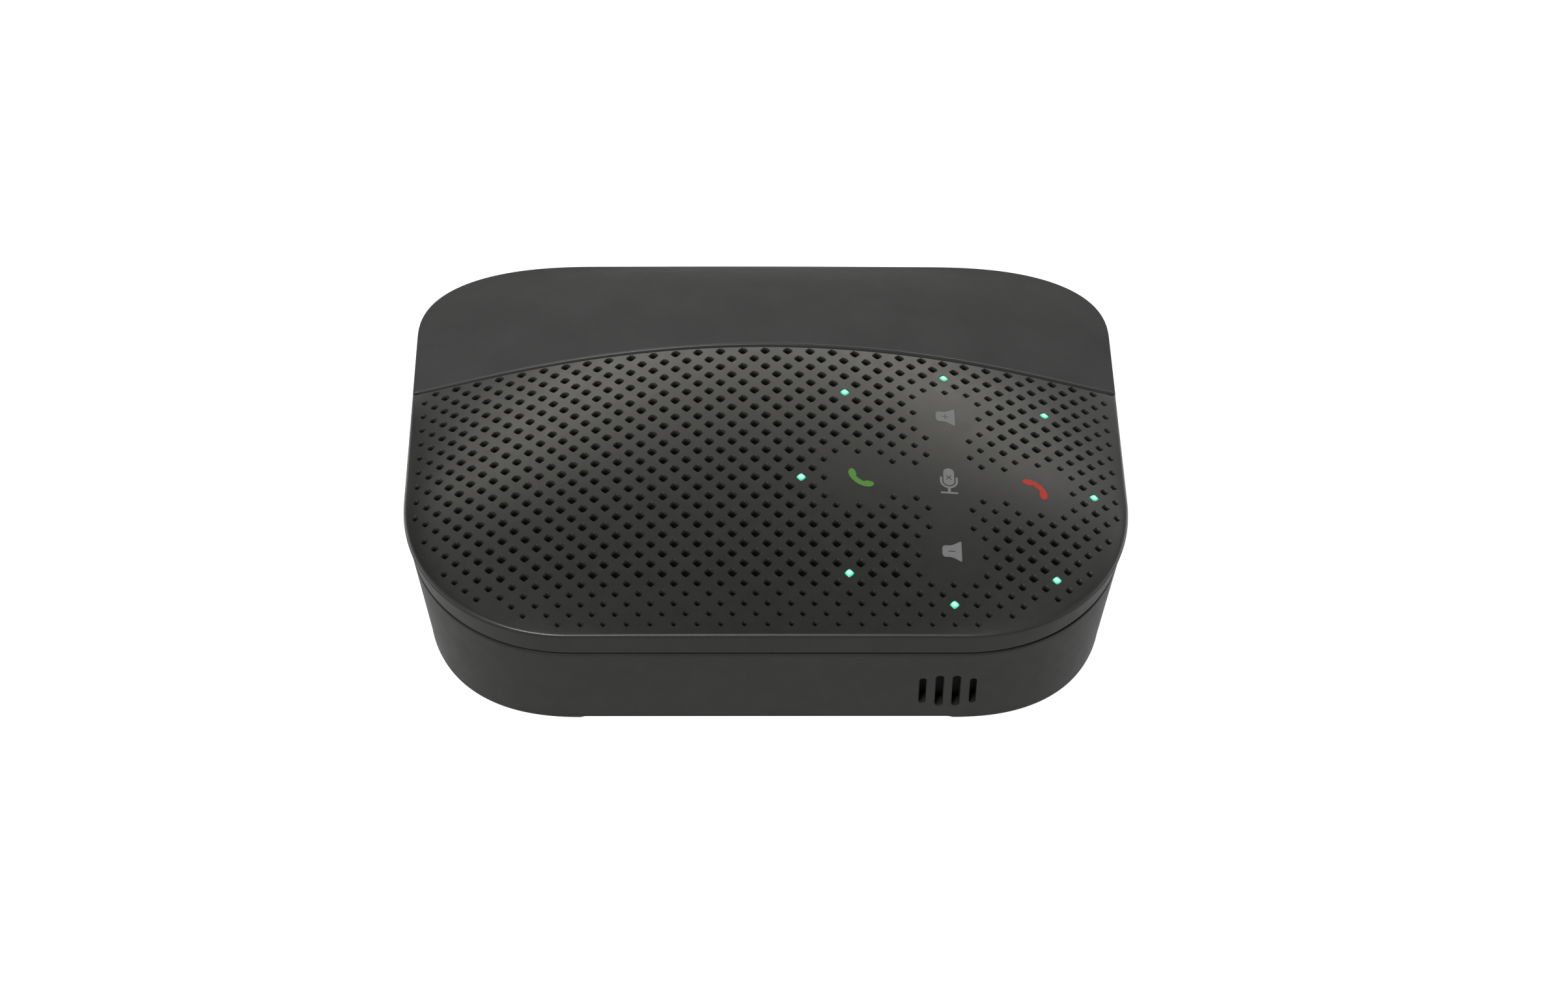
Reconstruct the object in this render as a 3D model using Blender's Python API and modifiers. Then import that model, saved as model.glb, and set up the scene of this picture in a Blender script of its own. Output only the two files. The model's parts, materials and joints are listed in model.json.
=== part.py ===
"""Conference speakerphone: a domed, perforated top cover with touch keys, a lid behind it that
tilts up as a stand for a phone or tablet, and a tapered lower case with a twist-off cable cover.

All sizes below are millimetres; meshes are made in metres.
Frame: origin at the middle of the underside, +Z up, the user sits on the -Y side.
"""
import math

import bmesh
import bpy
from mathutils import Matrix, Vector

MM = 0.001

# ---- overall size ---------------------------------------------------------------------------
WIDTH = 155.0
DEPTH = 123.0
HEIGHT = 42.0
HALF_W = WIDTH / 2
HALF_D = DEPTH / 2
GAP = 0.3                      # clearance between pieces that touch on the real object

# ---- levels, counted up from the table ------------------------------------------------------
CASE_FOOT_Z = 0.3              # lowest edge of the lower case
RELIEF_Z = 0.85                # front and rear middle of that edge are this high
FLOOR_Z = 2.8                  # inner side of the lower case's floor
SEAM_Z = 21.7                  # top edge of the lower case
BAND_Z = 22.1                  # bottom edge of the rim band
RIM_Z = 27.4                   # crease between rim band and dome
CROWN = HEIGHT - RIM_Z - 0.4   # the flap stands 0.4 proud of the grille and sets the height

# ---- plan outline: straight sides with superellipse corners --------------------------------
FRONT_CORNER = (36.5, 42.5, 2.1)    # radius along X, radius along Y, exponent
REAR_CORNER = (40.0, 26.0, 2.4)
FOOT_CORNER = (36.5, 42.5, 2.4)     # front corner at the foot of the lower case: squarer
CORNER_STEPS = 9
SEAM_INSET = (1.1, 0.45)       # how far the case is drawn in, along X and along Y
FOOT_INSET = (4.6, 3.6)
WALL = 2.2

# ---- dome ----------------------------------------------------------------------------------
CREST_Y = 22.0                 # the dome is highest here
FRONT_FALL = 1.69              # how the crown falls to the front rim: 2 is a parabola
REAR_FALL = 2.0
SIDE_FALL = (0.568, 0.00022)   # exponent of the sections across: at the front, growth to the rear
DOME_RINGS = (0.99, 0.97, 0.93, 0.87, 0.78, 0.66, 0.5, 0.3, 0.1)
COVER_THICK = 2.0

# ---- stand flap and its hinge --------------------------------------------------------------
GRILLE_END_Y = 15.8
FLAP_FRONT_Y = 16.2
FLAP_PROUD = 0.4
FLAP_THICK = 1.8
HINGE_Y = 60.1
HINGE_Z = 25.7
KNUCKLE_X = 30.0
KNUCKLE_HALF = 4.7
KNUCKLE_R = 1.4
PIN_R = 0.75
PIN_HOLE_R = 0.95
PIN_HALF = 8.5
TRAY_TOP = 24.7
TRAY_THICK = 1.6

# ---- keys, lights, hole grid ---------------------------------------------------------------
HALF_PITCH = 2.44              # half the spacing of the hole grid, along X and along Y
# columns of the grid are spaced a little unevenly: up to which column, and the spacing there
COLUMN_ZONES = ((14, 1.0), (19, 0.964), (26, 1.003), (32, 0.942))
KEYPAD_COLUMN = 16
KEYPAD = (38.8, -22.0)         # middle of the ring of lights
LIGHT_R = 1.1
# each light in columns and rows of the grid from the middle of the ring
LIGHT_STEPS = ((0, 13), (9, 10), (13, 0), (9, -10), (0, -13), (-9, -10), (-13, 0), (-9, 10))
LIGHT_BOARD = (23.7, 24.7, 33.5)    # bottom, top, radius

# ---- speaker -------------------------------------------------------------------------------
WOOFER = (-36.0, -21.0)
TUB = ((-69.0, -50.0, 13.2), (-4.5, 8.0, 23.0))

# ---- cable bay and its cover ---------------------------------------------------------------
BAY_R = 38.0
COVER_R = 37.6
UNLOCK_DEG = 25.0
TAB_ANGLES = (30.0, 150.0, 270.0)

# ---- screws --------------------------------------------------------------------------------
FRONT_SCREW = (0.0, -51.8)
REAR_SCREWS = ((-64.0, 42.0), (64.0, 42.0))
SCREW_R = 1.2

# ---- controls on the right wall ------------------------------------------------------------
CONTROL_Z = 12.0
SLIDER_Y = 3.5
SLIDER_TRAVEL = 3.0
POCKET_X = 74.0
BUTTON_Y = 20.0
BUTTON_R = 2.5

# ---- microphone slots in the front wall -----------------------------------------------------
SLOT_X = 37.9
SLOT_PITCH = 3.53
SLOT_Z = 9.4
# each slot's place in pitches from the middle, its width and its height
SLOTS = ((-1.5, 1.45, 8.3), (-0.5, 1.7, 10.1), (0.5, 1.7, 10.1), (1.5, 1.45, 8.3))

# ---- sockets in the rear wall ---------------------------------------------------------------
USB_X = -9.0
JACK_X = 9.0
PORT_Z = 12.0


def clear_scene():
    for old in list(bpy.data.objects):
        bpy.data.objects.remove(old, do_unlink=True)


def new_collection(name):
    made = bpy.data.collections.new(name)
    bpy.context.scene.collection.children.link(made)
    return made


clear_scene()
PARTS = new_collection("conference_speakerphone")
CUTTERS = new_collection("cutters")
MATERIALS = {}

FINISHES = {                    # colour, roughness, metallic
    "charcoal_satin": ((0.055, 0.055, 0.053), 0.42, 0.0),
    "charcoal_flap": ((0.068, 0.068, 0.068), 0.38, 0.0),
    "charcoal_case": ((0.045, 0.045, 0.044), 0.45, 0.0),
    "inner_plastic": ((0.03, 0.03, 0.03), 0.6, 0.0),
    "black_rubber": ((0.02, 0.02, 0.02), 0.85, 0.0),
    "black_cloth": ((0.015, 0.015, 0.015), 0.95, 0.0),
    "light_pipe": ((0.05, 0.8, 0.45), 0.3, 0.0),
    "circuit_board": ((0.02, 0.12, 0.06), 0.5, 0.0),
    "steel": ((0.6, 0.6, 0.6), 0.3, 1.0),
    "paper_cone": ((0.04, 0.04, 0.045), 0.8, 0.0),
    "battery_wrap": ((0.1, 0.14, 0.3), 0.5, 0.0),
    "sensor_film": ((0.35, 0.2, 0.05), 0.4, 0.0),
}


def material(slot):
    if slot not in MATERIALS:
        colour, roughness, metallic = FINISHES[slot]
        made = bpy.data.materials.new(slot)
        made.use_nodes = True
        shader = made.node_tree.nodes["Principled BSDF"]
        shader.inputs["Base Color"].default_value = (*colour, 1.0)
        shader.inputs["Roughness"].default_value = roughness
        shader.inputs["Metallic"].default_value = metallic
        MATERIALS[slot] = made
    return MATERIALS[slot]


# ---- making objects ------------------------------------------------------------------------

def add_object(name, mesh, slot=None):
    """A part when it has a material slot, and a hidden cutter when it has none."""
    obj = bpy.data.objects.new(name, mesh)
    if slot is None:
        CUTTERS.objects.link(obj)
        obj.display_type = 'WIRE'
        obj.hide_render = True
    else:
        PARTS.objects.link(obj)
        mesh.materials.append(material(slot))
        mesh.shade_smooth()
        mesh.set_sharp_from_angle(angle=math.radians(35))
    return obj


def mesh_from(name, bm):
    bmesh.ops.recalc_face_normals(bm, faces=bm.faces)
    mesh = bpy.data.meshes.new(name)
    bm.to_mesh(mesh)
    bm.free()
    return mesh


def box(name, low, high, slot=None, bevel=0.0):
    bm = bmesh.new()
    size = [(b - a) * MM for a, b in zip(low, high)]
    middle = [(a + b) / 2 * MM for a, b in zip(low, high)]
    bmesh.ops.create_cube(bm, size=1.0)
    bmesh.ops.scale(bm, vec=size, verts=bm.verts)
    bmesh.ops.translate(bm, vec=middle, verts=bm.verts)
    if bevel:
        bmesh.ops.bevel(bm, geom=bm.edges, offset=bevel * MM, segments=1, affect='EDGES')
    return add_object(name, mesh_from(name, bm), slot)


def cylinder(name, radius, start, end, slot=None, sides=24):
    """A round bar from start to end, which lie along one of the three axes."""
    bm = bmesh.new()
    a, b = Vector(start) * MM, Vector(end) * MM
    along = b - a
    turn = Vector((0, 0, 1)).rotation_difference(along).to_matrix().to_4x4()
    bmesh.ops.create_cone(bm, cap_ends=True, segments=sides, radius1=radius * MM,
                          radius2=radius * MM, depth=along.length,
                          matrix=Matrix.Translation((a + b) / 2) @ turn)
    return add_object(name, mesh_from(name, bm), slot)


def prism(name, points, low, high, axis, slot=None):
    """A flat outline, extruded from low to high along one axis ('X', 'Y' or 'Z')."""
    place = {
        'X': lambda p, t: (t, p[0], p[1]),
        'Y': lambda p, t: (p[0], t, p[1]),
        'Z': lambda p, t: (p[0], p[1], t),
    }[axis]
    bm = bmesh.new()
    rings = [[bm.verts.new(Vector(place(p, t)) * MM) for p in points] for t in (low, high)]
    count = len(points)
    for i in range(count):
        j = (i + 1) % count
        bm.faces.new((rings[0][i], rings[0][j], rings[1][j], rings[1][i]))
    bm.faces.new(rings[0])
    bm.faces.new(rings[1])
    return add_object(name, mesh_from(name, bm), slot)


def turned(name, profile, centre, slot=None, steps=36, closed=False):
    """A profile of (radius, height) turned about the vertical through centre by a Screw."""
    mesh = bpy.data.meshes.new(name)
    edges = [(i, i + 1) for i in range(len(profile) - 1)]
    if closed:
        edges.append((len(profile) - 1, 0))
    mesh.from_pydata([(r * MM, 0, z * MM) for r, z in profile], edges, [])
    obj = add_object(name, mesh, slot)
    obj.location = (centre[0] * MM, centre[1] * MM, 0)
    screw = obj.modifiers.new("turn", 'SCREW')
    screw.axis = 'Z'
    screw.steps = screw.render_steps = steps
    screw.use_merge_vertices = True
    screw.merge_threshold = 0.00001
    return obj


def boolean(obj, others, operation):
    """One Boolean step of the exact solver, with one other shape or a whole set of them."""
    step = obj.modifiers.new(operation.lower(), 'BOOLEAN')
    step.operation = operation
    step.solver = 'EXACT'
    if len(others) == 1:
        step.object = others[0]
        return
    group = bpy.data.collections.new(f"{obj.name}_{operation.lower()}")
    CUTTERS.children.link(group)
    for other in others:
        group.objects.link(other)
    step.operand_type = 'COLLECTION'
    step.collection = group


def cut(obj, *cutters):
    boolean(obj, cutters, 'DIFFERENCE')


def join(obj, *pieces):
    boolean(obj, pieces, 'UNION')


def keep(obj, region):
    boolean(obj, [region], 'INTERSECT')


# ---- outline and dome ----------------------------------------------------------------------

def corner(radii, steps=CORNER_STEPS):
    """Points of a quarter superellipse, from its end on +X to its end on +Y."""
    along_x, along_y, power = radii
    points = []
    for i in range(steps + 1):
        angle = math.pi / 2 * i / steps
        points.append((along_x * math.cos(angle) ** (2 / power),
                       along_y * math.sin(angle) ** (2 / power)))
    return points


def between(a, b, steps):
    """Points strictly between a and b."""
    return [tuple(p + (q - p) * i / steps for p, q in zip(a, b)) for i in range(1, steps)]


def base_outline(front_corner=FRONT_CORNER):
    """A plan of the whole part, counter-clockwise from the front end of the right side."""
    front_x, front_y, _ = front_corner
    rear_x, rear_y, _ = REAR_CORNER
    front = [(HALF_W - front_x + x, -(HALF_D - front_y + y)) for x, y in corner(front_corner)]
    rear = [(HALF_W - rear_x + x, HALF_D - rear_y + y) for x, y in corner(REAR_CORNER)]
    right = front[::-1] + between(front[0], rear[0], 5) + rear
    left = [(-x, y) for x, y in reversed(right)]
    return (right + between(right[-1], left[0], 8) + left
            + between(left[-1], right[0], 8))


OUTLINE = base_outline()
FOOT_OUTLINE = base_outline(FOOT_CORNER)


def outline(inset=(0.0, 0.0), plan=OUTLINE):
    across = 1 - inset[0] / HALF_W
    along = 1 - inset[1] / HALF_D
    return [(x * across, y * along) for x, y in plan]


def half_width(y):
    """Half the rim's width at a place along Y."""
    along_x, along_y, power = FRONT_CORNER if y < 0 else REAR_CORNER
    past = abs(y) - (HALF_D - along_y)
    if past <= 0:
        return HALF_W
    part = max(0.0, 1 - (past / along_y) ** power)
    return HALF_W - along_x + along_x * part ** (1 / power)


def dome(x, y):
    """Height of the domed top above the rim."""
    if y < CREST_Y:
        crown = 1 - ((CREST_Y - y) / (CREST_Y + HALF_D)) ** FRONT_FALL
    else:
        crown = 1 - ((y - CREST_Y) / (HALF_D - CREST_Y)) ** REAR_FALL
    shoulder = SIDE_FALL[0] + SIDE_FALL[1] * max(0.0, min(y, 17.0) + 34) ** 2
    part = max(0.0, 1 - (x / half_width(y)) ** 2)
    return CROWN * max(0.0, crown) * part ** shoulder


def dome_rings(inset, drop):
    """Rings of a dome drawn in by inset and lowered by drop, from near the rim to the middle."""
    across, along = 1 - inset[0] / HALF_W, 1 - inset[1] / HALF_D
    return [[(x * across * s, y * along * s, RIM_Z - drop + dome(x * s, y * s))
             for x, y in OUTLINE] for s in DOME_RINGS]


def flat_ring(inset, z, plan=OUTLINE):
    return [(x, y, z) for x, y in outline(inset, plan)]


def loft(name, rings, slot=None, loop=False, apex=None, start=None, span=None):
    """Skin a list of rings with equal point counts. Its ends are capped, closed by a fan to
    apex or start, or joined when loop. A span keeps only what lies between two places on Y."""
    bm = bmesh.new()
    rows = [[bm.verts.new(Vector(p) * MM) for p in ring] for ring in rings]
    count = len(rows[0])
    pairs = list(zip(rows, rows[1:])) + ([(rows[-1], rows[0])] if loop else [])
    for low, high in pairs:
        for i in range(count):
            j = (i + 1) % count
            bm.faces.new((low[i], low[j], high[j], high[i]))
    if not loop:
        cap(bm, rows[0], start)
        cap(bm, rows[-1], apex)
    if span:
        trim(bm, *span)
    return add_object(name, mesh_from(name, bm), slot)


def trim(bm, low, high, fill=True):
    """Cut away what lies in front of low or behind high, and close the cuts."""
    for place, outward in ((low, -1), (high, 1)):
        if place is None:
            continue
        bmesh.ops.bisect_plane(bm, geom=list(bm.verts) + list(bm.edges) + list(bm.faces),
                               plane_co=(0, place * MM, 0), plane_no=(0, outward, 0),
                               clear_outer=True)
        if fill:
            bmesh.ops.holes_fill(bm, edges=[e for e in bm.edges if e.is_boundary])


def cap(bm, ring, apex=None):
    if apex is None:
        bm.faces.new(ring)
        return
    top = bm.verts.new(Vector(apex) * MM)
    for i, corner_vert in enumerate(ring):
        bm.faces.new((corner_vert, ring[(i + 1) % len(ring)], top))


def dome_top(drop):
    return (0, 0, RIM_Z - drop + dome(0, 0))


def dome_shell(name, edge_rings, proud, thick, slot, span=None):
    """A domed lid: its inner side, its edge and its outer side in one loft."""
    floor = edge_rings[0][0][2]
    inside = [[(x, y, max(z, floor)) for x, y, z in ring]
              for ring in dome_rings((thick, thick), thick - proud)[::-1]]
    outside = dome_rings((0, 0), -proud)
    return loft(name, inside + edge_rings + outside, slot, start=dome_top(thick - proud),
                apex=dome_top(-proud), span=span)


def dome_sheet(name, drop, thick, slot, end_y):
    """A thin sheet that follows the dome at a depth below its outside."""
    bm = bmesh.new()
    rows = [[bm.verts.new(Vector(p) * MM) for p in ring]
            for ring in dome_rings((3.0, 3.0), drop)[2:]]
    count = len(rows[0])
    for outer, inner in zip(rows, rows[1:]):
        for i in range(count):
            j = (i + 1) % count
            bm.faces.new((outer[i], outer[j], inner[j], inner[i]))
    cap(bm, rows[-1], dome_top(drop))
    trim(bm, None, end_y, fill=False)
    obj = add_object(name, mesh_from(name, bm), slot)
    solid = obj.modifiers.new("thickness", 'SOLIDIFY')
    solid.thickness = thick * MM
    solid.offset = -1
    return obj


# ---- places --------------------------------------------------------------------------------

def column_x(column):
    """Where a column of the hole grid stands, counted from the middle of the grille."""
    steps, start = 0.0, 0
    for end, spacing in COLUMN_ZONES:
        steps += max(0, min(abs(column), end) - start) * spacing
        start = end
    return math.copysign(steps, column) * HALF_PITCH


def light_places():
    """The middle of each light on the top surface."""
    places = []
    for across, along in LIGHT_STEPS:
        x = column_x(KEYPAD_COLUMN + across)
        y = KEYPAD[1] + along * HALF_PITCH
        places.append((x, y, RIM_Z + dome(x, y)))
    return places


# ---- housing -------------------------------------------------------------------------------

def make_top_cover():
    """Dome over the front, rim band all round, bulkhead at the rear end of the grille."""
    cover = dome_shell("top_cover", [
        flat_ring((WALL, WALL), 24.2), flat_ring((3.3, 2.65), BAND_Z),
        flat_ring(SEAM_INSET, BAND_Z), flat_ring((0, 0), 26.8),
        flat_ring((0.25, 0.25), RIM_Z - 0.25),
    ], 0.0, COVER_THICK, "charcoal_satin")
    # behind the grille only the band stays: the lid and the stand tray sit in this opening
    floor = RIM_Z - 0.05
    cut(cover, loft("rear_well", [
        flat_ring((2.4, 2.4), BAND_Z - 3), flat_ring((2.4, 2.4), floor),
        flat_ring((-5.0, -5.0), floor), flat_ring((-5.0, -5.0), HEIGHT + 10),
    ], span=(GRILLE_END_Y, None)))

    x, y = FRONT_SCREW
    added = [cylinder("front_post", 3.4, (x, y, SEAM_Z - 1.3), (x, y, 28.4), sides=20)]
    # a bulkhead closes the rear end of the grille down to the stand tray
    added.append(loft("bulkhead", [flat_ring((1.2, 1.2), TRAY_TOP + GAP)]
                      + dome_rings((1.2, 1.2), COVER_THICK / 2), apex=dome_top(COVER_THICK / 2),
                      span=(14.0, GRILLE_END_Y - 0.2)))
    holes = [cylinder("front_post_bore", 1.5, (x, y, 20.0), (x, y, 25.6), sides=16)]
    for side in (-1, 1):
        middle = side * KNUCKLE_X
        for end in (-1, 1):
            x = middle + end * (KNUCKLE_HALF + GAP + 2.0)
            added.append(box(f"hinge_boss_{side}_{end}", (x - 2.0, 57.7, 23.8),
                             (x + 2.0, 60.9, 27.2)))
        holes.append(box(f"hinge_notch_{side}",
                         (middle - KNUCKLE_HALF - GAP, 57.0, 23.9),
                         (middle + KNUCKLE_HALF + GAP, 63.0, 29.0)))
        holes.append(cylinder(f"hinge_bore_{side}", PIN_HOLE_R,
                              (middle - PIN_HALF - GAP, HINGE_Y, HINGE_Z),
                              (middle + PIN_HALF + GAP, HINGE_Y, HINGE_Z), sides=16))
    cut(cover, *(cylinder(f"light_hole_{i}", LIGHT_R + 0.35, (x, y, z - 5), (x, y, z + 3),
                          sides=12) for i, (x, y, z) in enumerate(light_places(), 1)))
    join(cover, *added)
    cut(cover, *holes)


def make_lower_case():
    foot_x, foot_y = FOOT_INSET
    case = loft("lower_case", [
        flat_ring((foot_x + 0.8, foot_y + 0.8), CASE_FOOT_Z, FOOT_OUTLINE),
        flat_ring((foot_x + 0.2, foot_y + 0.2), CASE_FOOT_Z + 0.15, FOOT_OUTLINE),
        flat_ring(FOOT_INSET, CASE_FOOT_Z + 1.0, FOOT_OUTLINE),
        flat_ring(SEAM_INSET, SEAM_Z),
        flat_ring((SEAM_INSET[0] + WALL, SEAM_INSET[1] + WALL), SEAM_Z),
        flat_ring((foot_x + WALL, foot_y + WALL), FLOOR_Z, FOOT_OUTLINE),
    ], "charcoal_case")

    screws = (FRONT_SCREW,) + REAR_SCREWS
    join(case, *(cylinder(f"boss_{i}", 4.2, (x, y, 1.2), (x, y, SEAM_Z - 1.6), sides=20)
                 for i, (x, y) in enumerate(screws)))
    holes = []
    for i, (x, y) in enumerate(screws):
        holes.append(cylinder(f"shank_bore_{i}", 1.5, (x, y, 0), (x, y, 22), sides=16))
        holes.append(cylinder(f"head_bore_{i}", 3.0, (x, y, 0), (x, y, 3.4), sides=20))

    # round opening of the cable bay, with three notches for the cover's tabs
    holes.append(cylinder("bay_opening", BAY_R, (0, 0, 0), (0, 0, 4), sides=48))
    for angle in TAB_ANGLES:
        holes.append(tab(f"tab_notch_{int(angle)}", angle + UNLOCK_DEG, 36.0, 40.0, 6.5, 0.1,
                         4.1))

    # shallow relief of the bottom edge, front and rear
    for side in (-1, 1):
        low, high = sorted((side * 50, side * 70))
        holes.append(box(f"relief_{side}", (-38.6, low, -1), (38.6, high, RELIEF_Z)))

    # four microphone slots with round ends
    for i, (step, width, tall) in enumerate(SLOTS):
        holes.append(slot_cutter(f"mic_slot_{i}", SLOT_X + step * SLOT_PITCH, SLOT_Z, width, tall))

    # sockets in the rear wall
    holes.append(box("usb_opening", (USB_X - 4.6, 54, PORT_Z - 2.2),
                     (USB_X + 4.6, 64, PORT_Z + 2.2)))
    holes.append(cylinder("jack_opening", 3.5, (JACK_X, 54, PORT_Z), (JACK_X, 64, PORT_Z),
                          sides=24))

    # pocket and slot of the power slide, hole of the pairing button
    last_y = SLIDER_Y + SLIDER_TRAVEL
    holes.append(box("slide_pocket", (POCKET_X, SLIDER_Y - 4.0, CONTROL_Z - 3.0),
                     (80, last_y + 4.0, CONTROL_Z + 3.0)))
    holes.append(box("slide_slot", (70, SLIDER_Y - 1.5, CONTROL_Z - 1.0),
                     (81, last_y + 1.5, CONTROL_Z + 1.0)))
    holes.append(cylinder("button_hole", BUTTON_R + GAP, (70, BUTTON_Y, CONTROL_Z),
                          (80, BUTTON_Y, CONTROL_Z), sides=24))
    cut(case, *holes)


def slot_cutter(name, x, z, width, tall):
    """An upright slot with round ends, running through the front wall."""
    radius = width / 2
    points = []
    for i in range(13):
        angle = math.pi * i / 12
        points.append((x + radius * math.cos(angle), z + tall / 2 - radius
                       + radius * math.sin(angle)))
    points += [(2 * x - a, 2 * z - b) for a, b in points]
    return prism(name, points, -64.0, -54.0, 'Y')


def tab(name, angle, inner, outer, half_deg, low, high, slot=None):
    """A block that spans a few degrees of a circle about the origin."""
    points = []
    for radius, order in ((inner, (-1, 0, 1)), (outer, (1, 0, -1))):
        for step in order:
            turn = math.radians(angle + step * half_deg)
            points.append((radius * math.cos(turn), radius * math.sin(turn)))
    return prism(name, points, low, high, 'Z', slot)


def make_seam_gasket():
    low, high = SEAM_Z + 0.08, BAND_Z - 0.08
    outer, inner = (2.0, 1.35), (3.2, 2.55)
    loft("seam_gasket", [flat_ring(outer, low), flat_ring(outer, high),
                         flat_ring(inner, high), flat_ring(inner, low)], "black_rubber", loop=True)


# ---- stand flap ----------------------------------------------------------------------------

def make_stand_flap():
    edge_z = RIM_Z + GAP
    flap = dome_shell("stand_flap", [
        flat_ring((FLAP_THICK, FLAP_THICK), edge_z), flat_ring((0.5, 0.5), edge_z),
        flat_ring((0.1, 0.1), edge_z + 0.25),
    ], FLAP_PROUD, FLAP_THICK, "charcoal_flap", span=(FLAP_FRONT_Y, None))
    knuckles = []
    for side, pin in ((-1, "hinge_pin_left"), (1, "hinge_pin_right")):
        middle = side * KNUCKLE_X
        low, high = middle - KNUCKLE_HALF, middle + KNUCKLE_HALF
        knuckle = cylinder(f"knuckle_{side}", KNUCKLE_R, (low, HINGE_Y, HINGE_Z),
                           (high, HINGE_Y, HINGE_Z), sides=24)
        join(knuckle, box(f"knuckle_web_{side}", (low + 0.1, 59.3, HINGE_Z),
                          (high - 0.1, 60.9, edge_z + 0.2)))
        cut(knuckle, cylinder(f"knuckle_bore_{side}", PIN_HOLE_R, (low - 1, HINGE_Y, HINGE_Z),
                              (high + 1, HINGE_Y, HINGE_Z), sides=16))
        knuckles.append(knuckle)
        cylinder(pin, PIN_R, (middle - PIN_HALF, HINGE_Y, HINGE_Z),
                 (middle + PIN_HALF, HINGE_Y, HINGE_Z), "steel", sides=16)
    join(flap, *knuckles)


def make_stand_tray():
    low = TRAY_TOP - TRAY_THICK
    tray = prism("stand_tray", outline((4.2, 3.6)), low, TRAY_TOP, 'Z', "inner_plastic")
    keep(tray, box("tray_span", (-90, 12.0, 0), (90, 57.3, 60)))
    join(tray, *(cylinder(f"tray_post_{i}", 3.4, (x, y, SEAM_Z - 1.3), (x, y, low + 0.8),
                          sides=20) for i, (x, y) in enumerate(REAR_SCREWS)))
    cut(tray, *(cylinder(f"tray_bore_{i}", 1.5, (x, y, 20.0), (x, y, TRAY_TOP - 0.6), sides=16)
                for i, (x, y) in enumerate(REAR_SCREWS)))
    box("slot_grip_strip", (-52, 18.0, TRAY_TOP + 0.1), (52, 28.0, TRAY_TOP + 1.3),
        "black_rubber", bevel=0.3)


# ---- under the grille ----------------------------------------------------------------------

def make_grille_cloth():
    cloth = dome_sheet("grille_cloth", COVER_THICK + GAP, 0.4, "black_cloth", 13.6)
    x, y = FRONT_SCREW
    post_hole = cylinder("cloth_post_hole", 4.0, (x, y, 20), (x, y, 40), sides=20)
    cut(cloth, post_hole,
        *(cylinder(f"cloth_light_hole_{i}", LIGHT_R + 0.5, (x, y, z - 8), (x, y, z + 3), sides=12)
          for i, (x, y, z) in enumerate(light_places(), 1)))


def make_touch_sensor():
    """A cross-shaped film: one pad for each key."""
    x, y = KEYPAD
    arm, half = 26.0, 8.5
    cross = [(half, -arm), (half, -half), (arm, -half), (arm, half), (half, half), (half, arm),
             (-half, arm), (-half, half), (-arm, half), (-arm, -half), (-half, -half),
             (-half, -arm)]
    film = dome_sheet("touch_sensor", COVER_THICK + 2 * GAP + 0.5, 0.6, "sensor_film", 13.6)
    keep(film, prism("sensor_outline", [(x + a, y + b) for a, b in cross], 20, 50, 'Z'))


def make_light_board():
    low, high, radius = LIGHT_BOARD
    x0, y0 = KEYPAD
    board = cylinder("light_board", radius, (x0, y0, low), (x0, y0, high), "circuit_board", 40)
    chip_top = high + 0.9
    chips = []
    for i, (x, y, z) in enumerate(light_places(), 1):
        chips.append(box(f"chip_{i}", (x - 1.5, y - 1.3, low + 0.4),
                         (x + 1.5, y + 1.3, chip_top)))
        cylinder(f"light_pipe_{i}", LIGHT_R, (x, y, chip_top + GAP), (x, y, z - 0.2),
                 "light_pipe", 12)
    join(board, *chips)


# ---- electronics ---------------------------------------------------------------------------

def make_boards():
    board = prism("main_board", outline((9.0, 9.0)), 15.0, 16.2, 'Z', "circuit_board")
    keep(board, box("board_span", (5.0, -48.0, 0), (64.0, 32.0, 60)))
    box("radio_shield", (30.0, 12.0, 16.5), (50.0, 27.0, 19.2), "steel", bevel=0.4)
    fold = [(2, 16.5), (8.4, 16.5), (8.4, 23.4), (2, 23.4), (2, 23.1), (8.1, 23.1), (8.1, 16.8),
            (2, 16.8)]
    prism("board_ribbon", [(y - 14, z) for y, z in fold], 33.0, 47.0, 'X', "sensor_film")
    box("battery_pack", (-56.0, 18.0, 14.0), (-4.0, 50.0, 21.8), "battery_wrap", bevel=1.6)
    strap = [(17.6, 13.2), (16.6, 13.2), (16.6, 22.9), (51.4, 22.9), (51.4, 13.2), (50.4, 13.2),
             (50.4, 22.1), (17.6, 22.1)]
    prism("battery_strap", strap, -36.0, -24.0, 'X', "inner_plastic")


def make_ports():
    board_top = PORT_Z - 3.3
    box("port_board", (-18, 44.5, board_top - 1.2), (18, 56.2, board_top), "circuit_board")
    usb = box("usb_socket", (USB_X - 3.8, 51.5, PORT_Z - 1.5), (USB_X + 3.8, 58.2, PORT_Z + 1.5),
              "steel")
    cut(usb, box("usb_mouth", (USB_X - 3.3, 53.5, PORT_Z - 1.0), (USB_X + 3.3, 60, PORT_Z + 1.0)))
    jack = cylinder("audio_jack", 3.0, (JACK_X, 46.5, PORT_Z), (JACK_X, 58.4, PORT_Z),
                    "inner_plastic", 24)
    cut(jack, cylinder("jack_bore", 1.8, (JACK_X, 48.5, PORT_Z), (JACK_X, 60, PORT_Z), sides=16))


def make_microphone():
    boot = box("microphone_boot", (31.4, -54.8, 4.2), (44.2, -51.4, 14.6), "black_rubber")
    cut(boot, cylinder("capsule_seat", 3.3, (SLOT_X, -54.2, SLOT_Z), (SLOT_X, -50, SLOT_Z)))
    cylinder("microphone", 3.0, (SLOT_X, -53.9, SLOT_Z), (SLOT_X, -51.7, SLOT_Z), "steel", 24)


# ---- controls ------------------------------------------------------------------------------

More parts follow.
